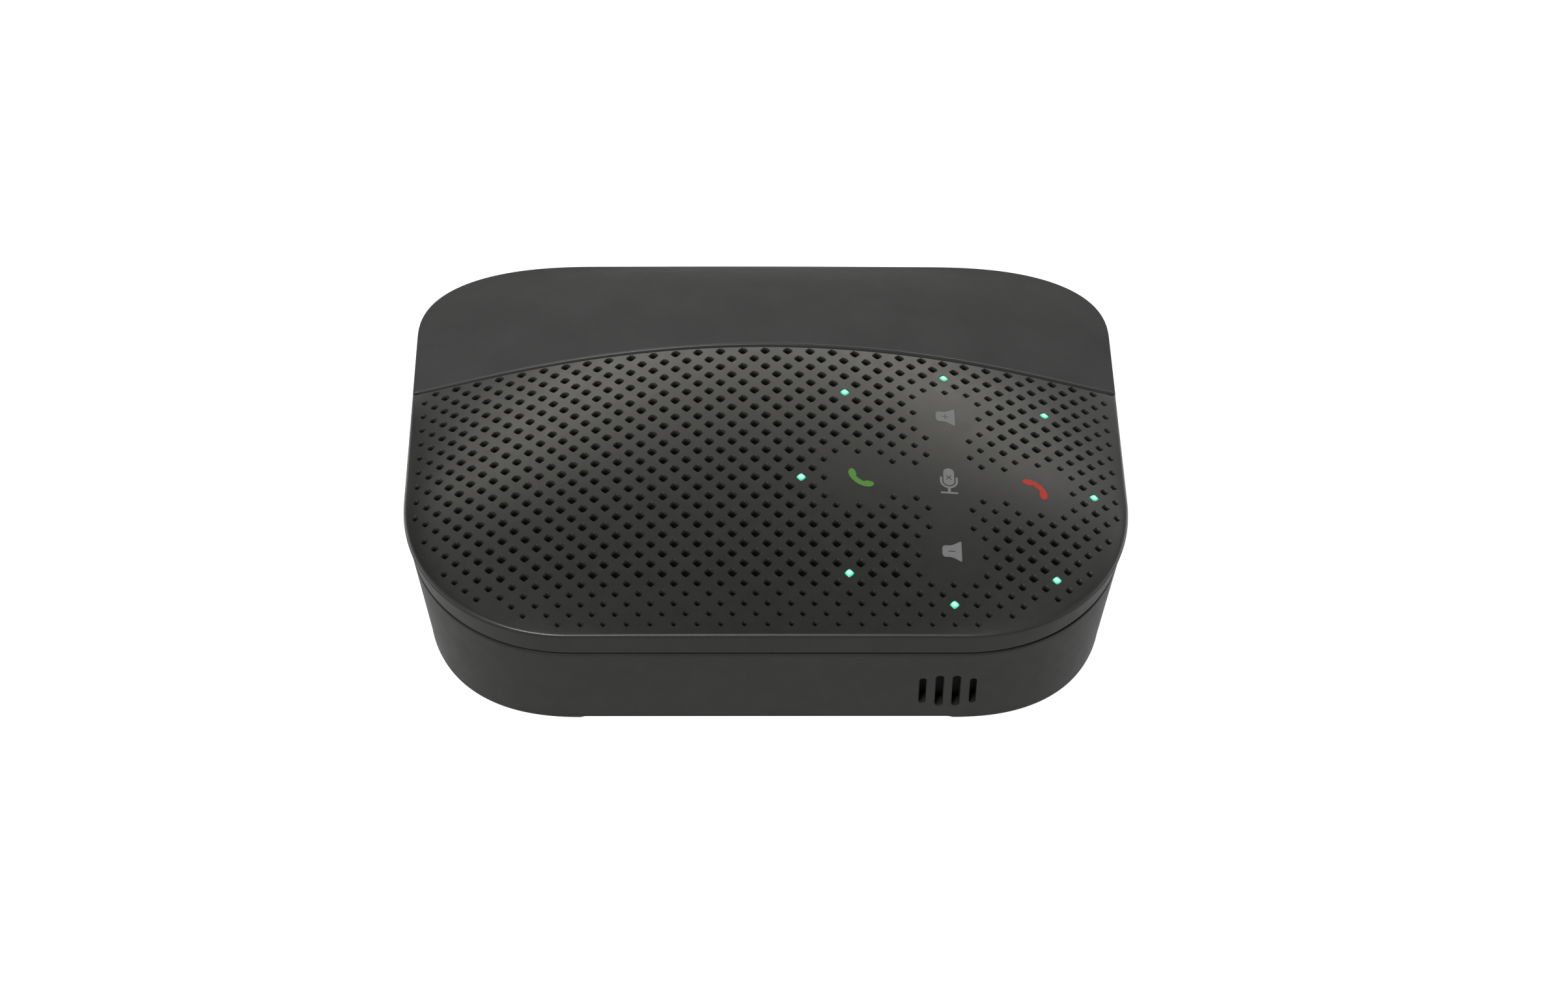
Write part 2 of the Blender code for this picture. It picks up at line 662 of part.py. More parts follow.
def make_controls():
    knob = box("power_slider", (POCKET_X + GAP, SLIDER_Y - 3.2, CONTROL_Z - 2.2),
               (75.7, SLIDER_Y + 3.2, CONTROL_Z + 2.2), "charcoal_case", bevel=0.3)
    join(knob, box("slider_stem", (70.5, SLIDER_Y - 1.2, CONTROL_Z - 0.7),
                   (POCKET_X + 0.8, SLIDER_Y + 1.2, CONTROL_Z + 0.7)))
    middle = SLIDER_Y + SLIDER_TRAVEL / 2
    box("power_switch", (65.8, middle - 5.0, CONTROL_Z - 2.6), (70.2, middle + 5.0,
                                                               CONTROL_Z + 2.6), "steel")
    button = cylinder("pairing_button", BUTTON_R, (70.4, BUTTON_Y, CONTROL_Z),
                      (75.5, BUTTON_Y, CONTROL_Z), "charcoal_case", 24)
    join(button, cylinder("button_flange", 3.5, (70.4, BUTTON_Y, CONTROL_Z),
                          (71.4, BUTTON_Y, CONTROL_Z), sides=24))
    box("pairing_switch", (65.8, BUTTON_Y - 3.0, CONTROL_Z - 3.0),
        (69.2, BUTTON_Y + 3.0, CONTROL_Z + 3.0), "inner_plastic")


# ---- speaker -------------------------------------------------------------------------------

def make_speaker():
    (x0, y0, z0), (x1, y1, z1) = TUB
    wall = 1.6
    tub = prism("speaker_tub", outline((8.0, 8.0)), z0, z1, 'Z', "inner_plastic")
    keep(tub, box("tub_span", (x0, y0, 0), (x1, y1, 60)))
    room = prism("tub_room", outline((8.0 + wall, 8.0 + wall)), z0 + wall, 60, 'Z')
    keep(room, box("room_span", (x0 + wall, y0 + wall, 0), (x1 - wall, y1 - wall, 70)))
    cut(tub, room)
    top = z1 + GAP
    baffle = prism("speaker_baffle", outline((8.0, 8.0)), top, top + 1.6, 'Z', "inner_plastic")
    keep(baffle, box("baffle_span", (x0, y0, 0), (x1, y1, 60)))
    x, y = WOOFER
    cut(baffle, cylinder("woofer_hole", 24.6, (x, y, 20), (x, y, 30), sides=40))

    seat = top + 1.6 + GAP           # the basket's flange rests on the baffle
    turned("woofer_basket", [(27.0, seat + 1.0), (27.0, seat), (24.2, seat), (13.5, seat - 5.6),
                             (7.5, seat - 5.6), (7.5, seat - 4.6), (13.0, seat - 4.6),
                             (23.7, seat + 1.0)], WOOFER, "steel", closed=True)
    turned("woofer_magnet", [(0, seat - 5.9), (14.0, seat - 5.9), (14.0, seat - 9.6),
                             (0, seat - 9.6)], WOOFER, "steel", steps=32)
    cone_z = seat + 0.9
    turned("woofer_cone", [(0, cone_z - 0.6), (3.5, cone_z - 1.0), (6.8, cone_z - 2.6),
                           (19.6, cone_z + 0.4), (19.6, cone_z - 0.1), (6.6, cone_z - 3.2),
                           (0, cone_z - 1.2)], WOOFER, "paper_cone")
    # half-round roll between the cone and the basket
    roll, middle, thick = 1.7, 21.6, 0.5
    arc = [math.radians(step * 36) for step in range(6)]
    outside = [(middle + roll * math.cos(a), seat + 0.9 + roll * math.sin(a)) for a in arc]
    inside = [(middle + (roll - thick) * math.cos(a), seat + 0.9 + (roll - thick) * math.sin(a))
              for a in reversed(arc)]
    turned("woofer_surround", (outside + inside)[::-1], WOOFER, "black_rubber", steps=28,
           closed=True)


# ---- underside -----------------------------------------------------------------------------

def make_underside():
    turned("cable_bay", [(0, 12.6), (42.4, 12.6), (42.4, 3.1), (41.0, 3.1), (41.0, 11.2),
                         (18.0, 11.2), (18.0, 3.6), (16.4, 3.6), (16.4, 11.2), (0, 11.2)],
           (0, 0), "inner_plastic", steps=40)
    cover = turned("base_cover", [(0, 2.7), (COVER_R, 2.7), (COVER_R, 1.1), (COVER_R - 0.4, 0.7),
                                  (35.3, 0.7), (35.3, 1.9), (27.7, 1.9), (27.7, 0.7), (0, 0.7)],
                   (0, 0), "charcoal_case", steps=48)
    tabs = []
    for angle in TAB_ANGLES:
        tabs.append(tab(f"riser_{int(angle)}", angle, 35.0, 37.3, 5.0, 2.0, 3.9))
        tabs.append(tab(f"bayonet_{int(angle)}", angle, 35.2, 39.6, 4.6, 3.1, 4.1))
    join(cover, *tabs)
    turned("foot_ring", [(35.0, 1.6), (35.0, 0.3), (34.7, 0), (28.3, 0), (28.0, 0.3),
                         (28.0, 1.6)], (0, 0), "black_rubber", steps=48, closed=True)


def make_screws():
    for name, (x, y) in zip(("case_screw_front", "case_screw_left", "case_screw_right"),
                            (FRONT_SCREW,) + REAR_SCREWS):
        turned(name, [(0, 23.6), (SCREW_R, 23.6), (SCREW_R, 3.1), (2.7, 3.1), (2.7, 1.4),
                      (2.3, 1.1), (0, 1.1)], (x, y), "steel", steps=20)


make_top_cover()
make_lower_case()
make_seam_gasket()
make_stand_flap()
make_stand_tray()
make_grille_cloth()
make_touch_sensor()
make_light_board()
make_boards()
make_ports()
make_microphone()
make_controls()
make_speaker()
make_underside()
make_screws()
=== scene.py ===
"""Looks of the conference speakerphone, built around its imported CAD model.

The shells that show are made again here with smooth edges, real grille holes and fine details;
everything else keeps its CAD shape and gets a finished material. Lengths are in millimetres
until a mesh is made, except where a name ends in _M.
"""
import json
import math

import bmesh
import bpy
import numpy as np
from mathutils import Matrix, Vector
from mathutils.geometry import delaunay_2d_cdt

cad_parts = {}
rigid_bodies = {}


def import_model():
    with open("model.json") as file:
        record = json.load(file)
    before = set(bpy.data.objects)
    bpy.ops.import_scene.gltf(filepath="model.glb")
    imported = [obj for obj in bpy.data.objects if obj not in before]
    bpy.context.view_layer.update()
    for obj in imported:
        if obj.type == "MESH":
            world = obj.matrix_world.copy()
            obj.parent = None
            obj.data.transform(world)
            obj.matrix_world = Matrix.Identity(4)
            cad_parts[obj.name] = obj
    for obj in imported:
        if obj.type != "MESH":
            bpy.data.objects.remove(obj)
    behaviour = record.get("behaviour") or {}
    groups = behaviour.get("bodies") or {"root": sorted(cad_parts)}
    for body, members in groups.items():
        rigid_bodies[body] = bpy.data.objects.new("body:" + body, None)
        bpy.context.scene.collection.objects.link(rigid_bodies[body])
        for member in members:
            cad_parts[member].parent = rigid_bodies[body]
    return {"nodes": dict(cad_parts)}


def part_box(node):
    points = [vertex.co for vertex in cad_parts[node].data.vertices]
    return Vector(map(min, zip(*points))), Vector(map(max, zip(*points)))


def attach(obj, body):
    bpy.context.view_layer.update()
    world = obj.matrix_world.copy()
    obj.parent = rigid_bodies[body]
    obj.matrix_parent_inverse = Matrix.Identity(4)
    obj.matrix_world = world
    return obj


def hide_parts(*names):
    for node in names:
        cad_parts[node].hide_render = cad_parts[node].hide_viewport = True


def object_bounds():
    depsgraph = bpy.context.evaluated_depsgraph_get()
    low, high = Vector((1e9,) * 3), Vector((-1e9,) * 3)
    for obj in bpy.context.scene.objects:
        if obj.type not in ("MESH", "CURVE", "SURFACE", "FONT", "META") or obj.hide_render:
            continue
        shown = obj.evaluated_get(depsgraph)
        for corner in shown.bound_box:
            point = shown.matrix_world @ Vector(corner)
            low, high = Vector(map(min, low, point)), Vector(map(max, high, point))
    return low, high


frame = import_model()
CAD_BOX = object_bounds()
MM = 0.001


def span(node):
    """Lowest and highest corner of a CAD node, in millimetres."""
    low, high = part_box(node)
    return low / MM, high / MM


def middle(node):
    return [(a + b) / 2 for a, b in zip(*span(node))]


# ---- sizes taken from the frame
HALF_W, HALF_D, HEIGHT = (c / MM for c in CAD_BOX[1])
CASE_FOOT_Z, SEAM_Z = (corner.z for corner in span("lower_case"))
FLAP_FRONT_Y = span("stand_flap")[0].y
BAND_Z = SEAM_Z + 0.4           # the band stands this far above the seam
HINGE = (span("hinge_pin_right")[0] + span("hinge_pin_right")[1]) / 2
CASE_SCREWS = ("case_screw_front", "case_screw_left", "case_screw_right")

# ---- shape of the CAD shells, which only part.py describes
RIM_Z = 27.4
FRONT_CORNER = (36.5, 42.5, 2.1)     # radius along X, radius along Y, exponent
REAR_CORNER = (40.0, 26.0, 2.4)
FOOT_CORNER = (36.5, 42.5, 2.4)      # front corner at the foot of the case: squarer
SEAM_INSET = (1.1, 0.45)             # along X and along Y
FOOT_INSET = (4.6, 3.6)
WALL = 2.2
WALL_RISE = SEAM_Z - CASE_FOOT_Z - 1.0     # height over which the case's wall leans
CREST_Y = 22.0
FRONT_FALL, REAR_FALL = 1.69, 2.0    # exponents of the dome's fall from its crest
SIDE_FALL = (0.568, 0.00022)         # exponent at the front, and how it grows along SIDE_Y
SIDE_Y = (-34.0, 17.0)
FLAP_PROUD = 0.4
CROWN = HEIGHT - RIM_Z - FLAP_PROUD
COVER_THICK = 2.0
GRILLE_END_Y = FLAP_FRONT_Y - 0.4
RELIEF_Z = CASE_FOOT_Z + 0.55        # raised strip of the case's bottom, front and rear
FLOOR_Z = 2.8                        # inner side of the case's floor
BAY_ANGLES = (30.0, 150.0, 270.0)    # bayonet tabs of the round base cover
BAY_TWIST = 25.0

# ---- hole grid of the grille
HALF_PITCH = 2.44
COLUMN_ZONES = ((14, 1.0), (19, 0.964), (26, 1.003), (32, 0.942))   # last column, spacing
FIRST_ROW, LAST_ROW = -13, 17
LAST_COLUMN = 31
# the last column of a hole in each row where the front corners cut the grid off
ROW_ENDS = {6: 29, 7: 30, 8: 29, 9: 28, 10: 27, 11: 28, 12: 27, 13: 26, 14: 25, 15: 22, 16: 21,
            17: 18}
KEYPAD_COLUMN, KEYPAD_ROW = 16, 2
KEYPAD_Y = -22.0
KEY_STEPS = 8                  # grid steps from the keypad's middle to its outer keys
KEY_BLANK_R = 2.5              # plain disc round an outer key, in steps
BLANK_ARM = 10                 # reach of the plain cross, in steps
LIGHT_STEPS = ((0, 13), (9, 10), (13, 0), (9, -10), (0, -13), (-9, -10), (-13, 0), (-9, 10))
HOLE_AREA = 3.1
KEY_AREAS = (1.7, 2.4, HOLE_AREA)      # beside the plain cross, one step out, beyond
FRONT_AREAS = {13: 2.35, 14: 1.9, 15: 1.7, 16: 1.5, 17: 1.25}
RIM_SHARE, RIM_REACH, RIM_GAIN = 0.56, 3.0, 0.065      # holes shrink toward the rim
HOLE_ROUNDING = 0.55           # corner radius over half the side
HOLE_FILL = 0.934              # area left when the corners are rounded
HOLE_CHAMFER = 0.1
HOLE_LIT_DEPTH = 1.3           # from here down a hole's wall carries painted shade

# ---- details of the shells
WALL_SHARES = (0.03, 0.2, 0.4, 0.6, 0.8, 0.97)     # extra rows that keep long walls' shading true
BAND_SHARES = (0.06, 0.35, 0.65, 0.94)
BAND_FOOT = (((3.3, 2.65), 0.0), ((1.4, 0.75), 0.0), ((1.16, 0.51), 0.07), ((1.03, 0.42), 0.28))
CREASE_INSET = 0.55
CREASE_DEPTH = 0.7
LEDGE_INSET = (2.4, 2.4)       # ledge behind the grille that the lid lies over
LEDGE_DROP = 0.05
LEDGE_UNDER_Z = 24.2
NOTCH_Z, NOTCH_DEPTH, NOTCH_HALF = 23.9, 0.28, 5.0     # in the ledge, for the hinge knuckles
KNUCKLE_HALF = 4.7
BOSS_STEP = 7.0                # from the middle of a knuckle to the bosses beside it
SMOOTH_DEG = 32


# ---- outline and dome

def half_width(y):
    """Half the rim's width at a place along Y; takes arrays."""
    y = np.asarray(y, float)
    width = np.full_like(y, HALF_W)
    for (along_x, along_y, power), side in ((FRONT_CORNER, y < 0), (REAR_CORNER, y >= 0)):
        past = np.clip((np.abs(y) - (HALF_D - along_y)) / along_y, 0, 1)
        corner = HALF_W - along_x + along_x * (1 - past ** power) ** (1 / power)
        width = np.where(side, corner, width)
    return width


def dome(x, y):
    """Height of the domed top above the rim; takes arrays."""
    x, y = np.asarray(x, float), np.asarray(y, float)
    front = 1 - (np.clip(CREST_Y - y, 0, None) / (CREST_Y + HALF_D)) ** FRONT_FALL
    rear = 1 - (np.clip(y - CREST_Y, 0, None) / (HALF_D - CREST_Y)) ** REAR_FALL
    crown = np.clip(np.where(y < CREST_Y, front, rear), 0, None)
    shoulder = SIDE_FALL[0] + SIDE_FALL[1] * (np.clip(y, *SIDE_Y) - SIDE_Y[0]) ** 2
    part = np.clip(1 - (x / half_width(y)) ** 2, 0, None)
    return CROWN * crown * part ** shoulder


def dome_normals(x, y):
    step = 0.05
    slope_x = (dome(x + step, y) - dome(x - step, y)) / (2 * step)
    slope_y = (dome(x, y + step) - dome(x, y - step)) / (2 * step)
    normals = np.stack([-slope_x, -slope_y, np.ones_like(slope_x)], -1)
    return normals / np.linalg.norm(normals, axis=-1, keepdims=True)


def corner_points(radii, steps):
    """Quarter superellipse from its end on +X to its end on +Y."""
    along_x, along_y, power = radii
    angles = np.linspace(0, math.pi / 2, steps + 1)
    return np.stack([along_x * np.cos(angles).clip(0) ** (2 / power),
                     along_y * np.sin(angles).clip(0) ** (2 / power)], -1)





def plan_ring(front_corner):
    """An outline, counter-clockwise from the left end of the grille's rear edge.
    Returns it with the number of points in front of that edge."""
    front_x, front_y, _ = front_corner
    rear_x, rear_y, _ = REAR_CORNER
    front = corner_points(front_corner, 44) * (1, -1) + (HALF_W - front_x, -HALF_D + front_y)
    rear = corner_points(REAR_CORNER, 36) + (HALF_W - rear_x, HALF_D - rear_y)
    front_edge = [(x, -HALF_D) for x in np.linspace(0, HALF_W - front_x, 24)[:-1]]
    side = [(HALF_W, y) for y in np.linspace(-HALF_D + front_y, GRILLE_END_Y, 21)[1:]]
    side_rear = [(HALF_W, y) for y in np.linspace(GRILLE_END_Y, HALF_D - rear_y, 14)[1:-1]]
    low, high = HINGE.x - NOTCH_HALF, HINGE.x + NOTCH_HALF
    stops = (36.2, high, high - 0.01, 32.5, 30.0, 27.5, low + 0.01, low, 20.0, 15.0, 10.0, 5.0, 0.0)
    rear_edge = [(x, HALF_D) for x in stops]
    right_front = np.array(front_edge + list(front[::-1]) + side)
    right_rear = np.array(side_rear + list(rear) + rear_edge)
    ring = np.concatenate([right_front[::-1] * (-1, 1), right_front[1:], right_rear,
                           right_rear[:-1][::-1] * (-1, 1)])
    return ring, 2 * len(right_front) - 1


RING, FRONT_COUNT = plan_ring(FRONT_CORNER)
FOOT_RING, _ = plan_ring(FOOT_CORNER)
TANGENT = np.roll(RING, -1, 0) - np.roll(RING, 1, 0)
OUTWARD = np.stack([TANGENT[:, 1], -TANGENT[:, 0]], -1)
OUTWARD /= np.linalg.norm(OUTWARD, axis=1, keepdims=True)


def offset(inset):
    """The outline drawn in by the same amount everywhere."""
    return RING - OUTWARD * inset


def scaled(inset, ring=RING):
    """The outline drawn in along X and along Y, as the CAD shells do it."""
    return ring * (1 - inset[0] / HALF_W, 1 - inset[1] / HALF_D)


def at_height(points, z):
    return np.column_stack([points, np.broadcast_to(z, len(points))])


# ---- making pieces

def arc(centre, radius, start_deg, sweep_deg, steps):
    """Points along an arc, both ends included."""
    angles = [math.radians(start_deg + sweep_deg * step / steps) for step in range(steps + 1)]
    return [(centre[0] + radius * math.cos(a), centre[1] + radius * math.sin(a)) for a in angles]


def circle(radius, steps):
    return arc((0, 0), radius, 0, 360, steps)[:-1]


def rounded_corners(x0, x1, y0, y1, radius, steps):
    """Outline of quarter arcs about the four corners of a rectangle."""
    return [p for x, y, start in ((x1, y1, 0), (x0, y1, 90), (x0, y0, 180), (x1, y0, 270))
            for p in arc((x, y), radius, start, 90, steps)]


def rotated(points, turn_deg, centre=(0, 0)):
    """Flat points turned about the origin, then moved to a centre."""
    cos, sin = math.cos(math.radians(turn_deg)), math.sin(math.radians(turn_deg))
    return [(centre[0] + x * cos - y * sin, centre[1] + x * sin + y * cos) for x, y in points]


def dress(obj, body, look, stands_for=(), degrees=SMOOTH_DEG):
    """Link, shade, colour and attach a new piece; its look is a CAD slot or an ink."""
    linked = bpy.context.scene.collection.objects
    if obj.name not in linked:
        linked.link(obj)
    obj.data.materials.clear()
    obj.data.materials.append(FINISH.get(look) or INKS[look])
    obj.data.shade_smooth()
    obj.data.set_sharp_from_angle(angle=math.radians(degrees))
    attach(obj, body)
    if stands_for:
        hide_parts(*stands_for)
    return obj


class Shape:
    """Collects closed shells in millimetres before they become one mesh.
    loft, turned and block add a shell and give the shape back."""

    def __init__(self):
        self.points, self.faces = [], []

    def add(self, points):
        start = len(self.points)
        self.points.extend(tuple(float(c) for c in p) for p in points)
        return list(range(start, len(self.points)))

    def band(self, low, high, closed=True):
        """Quads between two rows of point numbers."""
        count = len(low)
        for i in range(count if closed else count - 1):
            j = (i + 1) % count
            self.faces.append((low[i], low[j], high[j], high[i]))

    def strip(self, rings, closed=True):
        """Bands through rows of points; gives back the rows' point numbers."""
        rows = [self.add(ring) for ring in rings]
        for low, high in zip(rows, rows[1:]):
            self.band(low, high, closed)
        return rows

    def loft(self, rings, loop=False):
        """A shell through rings, capped at both ends or joined end to start."""
        rows = self.strip(rings)
        if loop:
            self.band(rows[-1], rows[0])
        else:
            self.faces += [tuple(rows[0]), tuple(rows[-1])]
        return self

    def turned(self, profile, centre, steps, loop=False):
        """A profile of (radius, height) turned about a vertical axis."""
        return self.loft([[(centre[0] + x, centre[1] + y, z) for x, y in circle(radius, steps)]
                          for radius, z in profile], loop)

    def block(self, low, high, bevel=0.3):
        """A box with rounded upright edges and softened top and bottom."""
        (x0, y0, z0), (x1, y1, z1) = low, high
        soft = bevel * 0.6
        rings = []
        for inset, z in ((soft, z0), (0, z0 + soft), (0, z1 - soft), (soft, z1)):
            by = inset + bevel
            plan = rounded_corners(x0 + by, x1 - by, y0 + by, y1 - by, bevel, 3)
            rings.append([(x, y, z) for x, y in plan])
        return self.loft(rings)

    def mesh(self, name):
        """One mesh of all the shells, in metres, with its faces turned outward."""
        mesh = bpy.data.meshes.new(name)
        mesh.from_pydata([tuple(c * MM for c in p) for p in self.points], [], self.faces)
        bm = bmesh.new()
        bm.from_mesh(mesh)
        bmesh.ops.recalc_face_normals(bm, faces=bm.faces)
        bm.to_mesh(mesh)
        bm.free()
        return mesh

    def object(self, name, *args, **kwargs):
        return dress(bpy.data.objects.new(name, self.mesh(name)), *args, **kwargs)


def carved(name, shape, cutters):
    """A new object of a shape, less the cutters' shells, by one exact Boolean."""
    obj = bpy.data.objects.new(name, shape.mesh(name))
    group = bpy.data.collections.new(f"{name}_cutters")
    top = bpy.context.scene.collection
    top.objects.link(obj)
    for i, cutter in enumerate(cutters):
        group.objects.link(bpy.data.objects.new(f"cutter_{i}", cutter.mesh(f"cutter_{i}")))
    top.children.link(group)
    step = obj.modifiers.new("cut", 'BOOLEAN')
    step.operation = 'DIFFERENCE'
    step.solver = 'EXACT'
    step.operand_type = 'COLLECTION'
    step.collection = group
    bpy.context.view_layer.update()
    graph = bpy.context.evaluated_depsgraph_get()
    mesh = bpy.data.meshes.new_from_object(obj.evaluated_get(graph))
    obj.modifiers.clear()
    obj.data = mesh
    for tool in list(group.objects):
        bpy.data.objects.remove(tool, do_unlink=True)
    bpy.data.collections.remove(group)
    return obj


# ---- materials

class Look:
    """A material in the making: its shader, and nodes that vary the shader's inputs."""

    def __init__(self, name, colour, roughness, metallic=0.0, **sockets):
        self.material = bpy.data.materials.new(name)
        self.material.use_nodes = True
        self.tree = self.material.node_tree
        self.shader = self.tree.nodes["Principled BSDF"]
        self.set(Base_Color=(*colour, 1), Roughness=roughness, Metallic=metallic, **sockets)
        self.place = self.node("TexCoord").outputs["Object"]

    def feed(self, node, inputs):
        """Give a node's inputs a number, a colour or another node's output."""
        for name, value in inputs.items():
            socket = node.inputs[name.replace("_", " ")]
            if isinstance(value, bpy.types.NodeSocket):
                self.tree.links.new(value, socket)
            else:
                socket.default_value = value

    def set(self, **inputs):
        self.feed(self.shader, inputs)

    def node(self, kind, **inputs):
        made = self.tree.nodes.new("ShaderNode" + kind)
        self.feed(made, inputs)
        return made

    def noise(self, scale, detail=2.0, rough=0.5):
        return self.node("TexNoise", Scale=scale, Detail=detail, Roughness=rough,
                         Vector=self.place).outputs["Fac"]

    def vary(self, value, low, high):
        """Spread the middle of a 0 to 1 value between two numbers."""
        return self.node("MapRange", From_Min=0.3, From_Max=0.7, To_Min=low, To_Max=high,
                         Value=value).outputs["Result"]

    def ramp(self, value, *stops):
        """A ramp through two or more stops, each a position and a colour."""
        node = self.node("ValToRGB", Fac=value)
        elements = node.color_ramp.elements
        for i, (position, colour) in enumerate(stops):
            element = elements[i] if i < 2 else elements.new(position)
            element.position = position
            element.color = (*colour, 1)
        return node

    def tint(self, value, dark, light):
        """Colour the surface between two colours by a 0 to 1 value."""
        self.set(Base_Color=self.ramp(value, (0.3, dark), (0.7, light)).outputs["Color"])

    def bump(self, value, strength, depth_m):
        bumps = self.node("Bump", Strength=strength, Distance=depth_m, Height=value)
        self.set(Normal=bumps.outputs["Normal"])


def shade(colour, factor):
    return tuple(c * factor for c in colour)


def plastic(name, colour, roughness, grain=5500.0, depth=0.6, **sockets):
    """Moulded plastic: fine spark-eroded grain, faint clouds of tone and gloss."""
    look = Look(name, colour, roughness, **sockets)
    look.tint(look.noise(90.0, 3.0), shade(colour, 0.94), shade(colour, 1.06))
    patches = look.noise(260.0, 4.0, 0.6)
    look.set(Roughness=look.vary(patches, roughness - 0.03, roughness + 0.03))
    look.bump(look.noise(grain), depth, 0.00003)
    return look


def wall_plastic_with_painted_shade(name, colour, painted_shade_colour):
    """The sides of a hole: painted shade darkens them with depth, by a value the mesh carries."""
    look = Look(name, colour, 0.55, Specular_IOR_Level=0.2)
    depth = look.node("Attribute")
    depth.attribute_name = "depth"
    ramp = look.ramp(depth.outputs["Fac"], (0.0, colour), (0.8, painted_shade_colour))
    ramp.color_ramp.interpolation = 'EASE'
    look.set(Base_Color=ramp.outputs["Color"])
    look.bump(look.noise(5500.0), 0.4, 0.00002)
    return look


def rubber(name, colour, roughness=0.8):
    look = Look(name, colour, roughness)
    look.tint(look.noise(500.0, 5.0, 0.7), colour, shade(colour, 1.5))
    look.bump(look.noise(2600.0, 3.0), 0.5, 0.00004)
    return look


def cloth(name, colour):
    """Acoustic cloth: two crossed sets of threads."""
    look = Look(name, colour, 0.95, Sheen_Weight=0.15)
    weave = look.node("Math")
    weave.operation = 'MULTIPLY'
    for axis, factor in zip(('X', 'Y'), weave.inputs):
        thread = look.node("TexWave", Scale=900.0, Distortion=0.6, Vector=look.place)
        thread.bands_direction = axis
        look.tree.links.new(thread.outputs["Fac"], factor)
    look.tint(weave.outputs[0], shade(colour, 0.5), colour)
    look.bump(weave.outputs[0], 0.8, 0.0001)
    return look


def metal(name, colour, roughness):
    look = Look(name, colour, roughness, 1.0)
    scratches = look.noise(1800.0, 6.0, 0.7)
    look.set(Roughness=look.vary(scratches, roughness - 0.06, roughness + 0.1))
    look.bump(look.noise(3500.0), 0.15, 0.00002)
    return look


def board(name, mask, trace):
    """Circuit board: solder mask with faint copper tracks under it."""
    look = Look(name, mask, 0.35)
    cells = look.node("TexVoronoi", Scale=420.0, Vector=look.place)
    cells.distance = 'CHEBYCHEV'
    look.tint(cells.outputs["Distance"], trace, mask)
    look.bump(cells.outputs["Distance"], 0.2, 0.00003)
    return look


def ink(name, colour):
    """Screen-printed ink on textured plastic."""
    look = Look(name, colour, 0.6, Specular_IOR_Level=0.2)
    look.tint(look.noise(1500.0, 4.0, 0.6), shade(colour, 0.92), shade(colour, 1.05))
    look.bump(look.noise(7000.0), 0.2, 0.00002)
    return look


def lamp(name, glow, core):
    """A lit light pipe: nearly white in the middle, coloured toward its edge."""
    look = Look(name, (0.02, 0.25, 0.15), 0.25, Emission_Strength=1.0)
    reach = look.node("VectorMath", Vector=look.place)
    reach.operation = 'LENGTH'
    share = look.node("MapRange", From_Max=1.1 * MM, Value=reach.outputs["Value"])
    ramp = look.ramp(share.outputs["Result"], (0.25, core), (0.72, glow),
                     (1.0, shade(glow, 0.25)))
    look.set(Emission_Color=ramp.outputs["Color"])
    return look


def plain_name(material):
    return material.name.split(".")[0]


def by_name(*looks):
    return {plain_name(look.material): look.material for look in looks}


FINISH = by_name(
    plastic("charcoal_satin", (0.0085, 0.0085, 0.0076), 0.38, Specular_IOR_Level=0.29),
    plastic("charcoal_flap", (0.039, 0.039, 0.0395), 0.75, Specular_IOR_Level=0.05),
    plastic("bead", (0.014, 0.014, 0.0135), 0.37, Specular_IOR_Level=0.6),
    plastic("charcoal_case", (0.014, 0.014, 0.0128), 0.55, Specular_IOR_Level=0.18),
    # hole_walls: the plastic's colour, with painted shade that darkens it down each hole
    wall_plastic_with_painted_shade("hole_walls", (0.045, 0.045, 0.042), (0.004, 0.004, 0.004)),
    plastic("inner_plastic", (0.020, 0.020, 0.020), 0.55),
    rubber("black_rubber", (0.010, 0.010, 0.010)),
    cloth("black_cloth", (0.006, 0.006, 0.006)),
    lamp("light_pipe", (0.01, 0.48, 0.25), (0.62, 1.0, 0.84)),
    board("circuit_board", (0.010, 0.075, 0.032), (0.03, 0.12, 0.05)),
    metal("steel", (0.55, 0.55, 0.54), 0.32),
    rubber("paper_cone", (0.030, 0.030, 0.032), 0.9),
    plastic("battery_wrap", (0.05, 0.08, 0.22), 0.35, grain=3000.0),
    plastic("sensor_film", (0.30, 0.16, 0.03), 0.3, grain=2000.0, depth=0.1))
INKS = by_name(
    ink("ink_grey", (0.13, 0.13, 0.132)),
    ink("ink_green", (0.052, 0.165, 0.022)),
    ink("ink_red", (0.30, 0.016, 0.012)))


def finish_cad_nodes():
    """Every CAD node gets the finished material of its own slot."""
    for node in frame["nodes"].values():
        for place in node.material_slots:
            place.material = FINISH[plain_name(place.material)]


# ---- grille cover

def column_x(column):
    """Where a column of the hole grid stands, counted from the middle of the grille."""
    steps, start = 0.0, 0
    for end, spacing in COLUMN_ZONES:
        steps += max(0, min(abs(column), end) - start) * spacing
        start = end
    return math.copysign(steps, column) * HALF_PITCH


def in_key_blank(near, far):
    """Whether a grid place lies in the plain cross that carries the key symbols."""
    on_arm = near <= 1 and far <= BLANK_ARM
    return on_arm or math.hypot(near, far - KEY_STEPS) < KEY_BLANK_R


def key_level(near, far):
    """0 beside the plain cross, 1 one step out, 2 beyond."""
    return max(0, min(max(near - 3, far - BLANK_ARM - 1), 2))


def rim_distance(x, y):
    return float(np.min(np.hypot(RING[:, 0] - x, RING[:, 1] - y)))


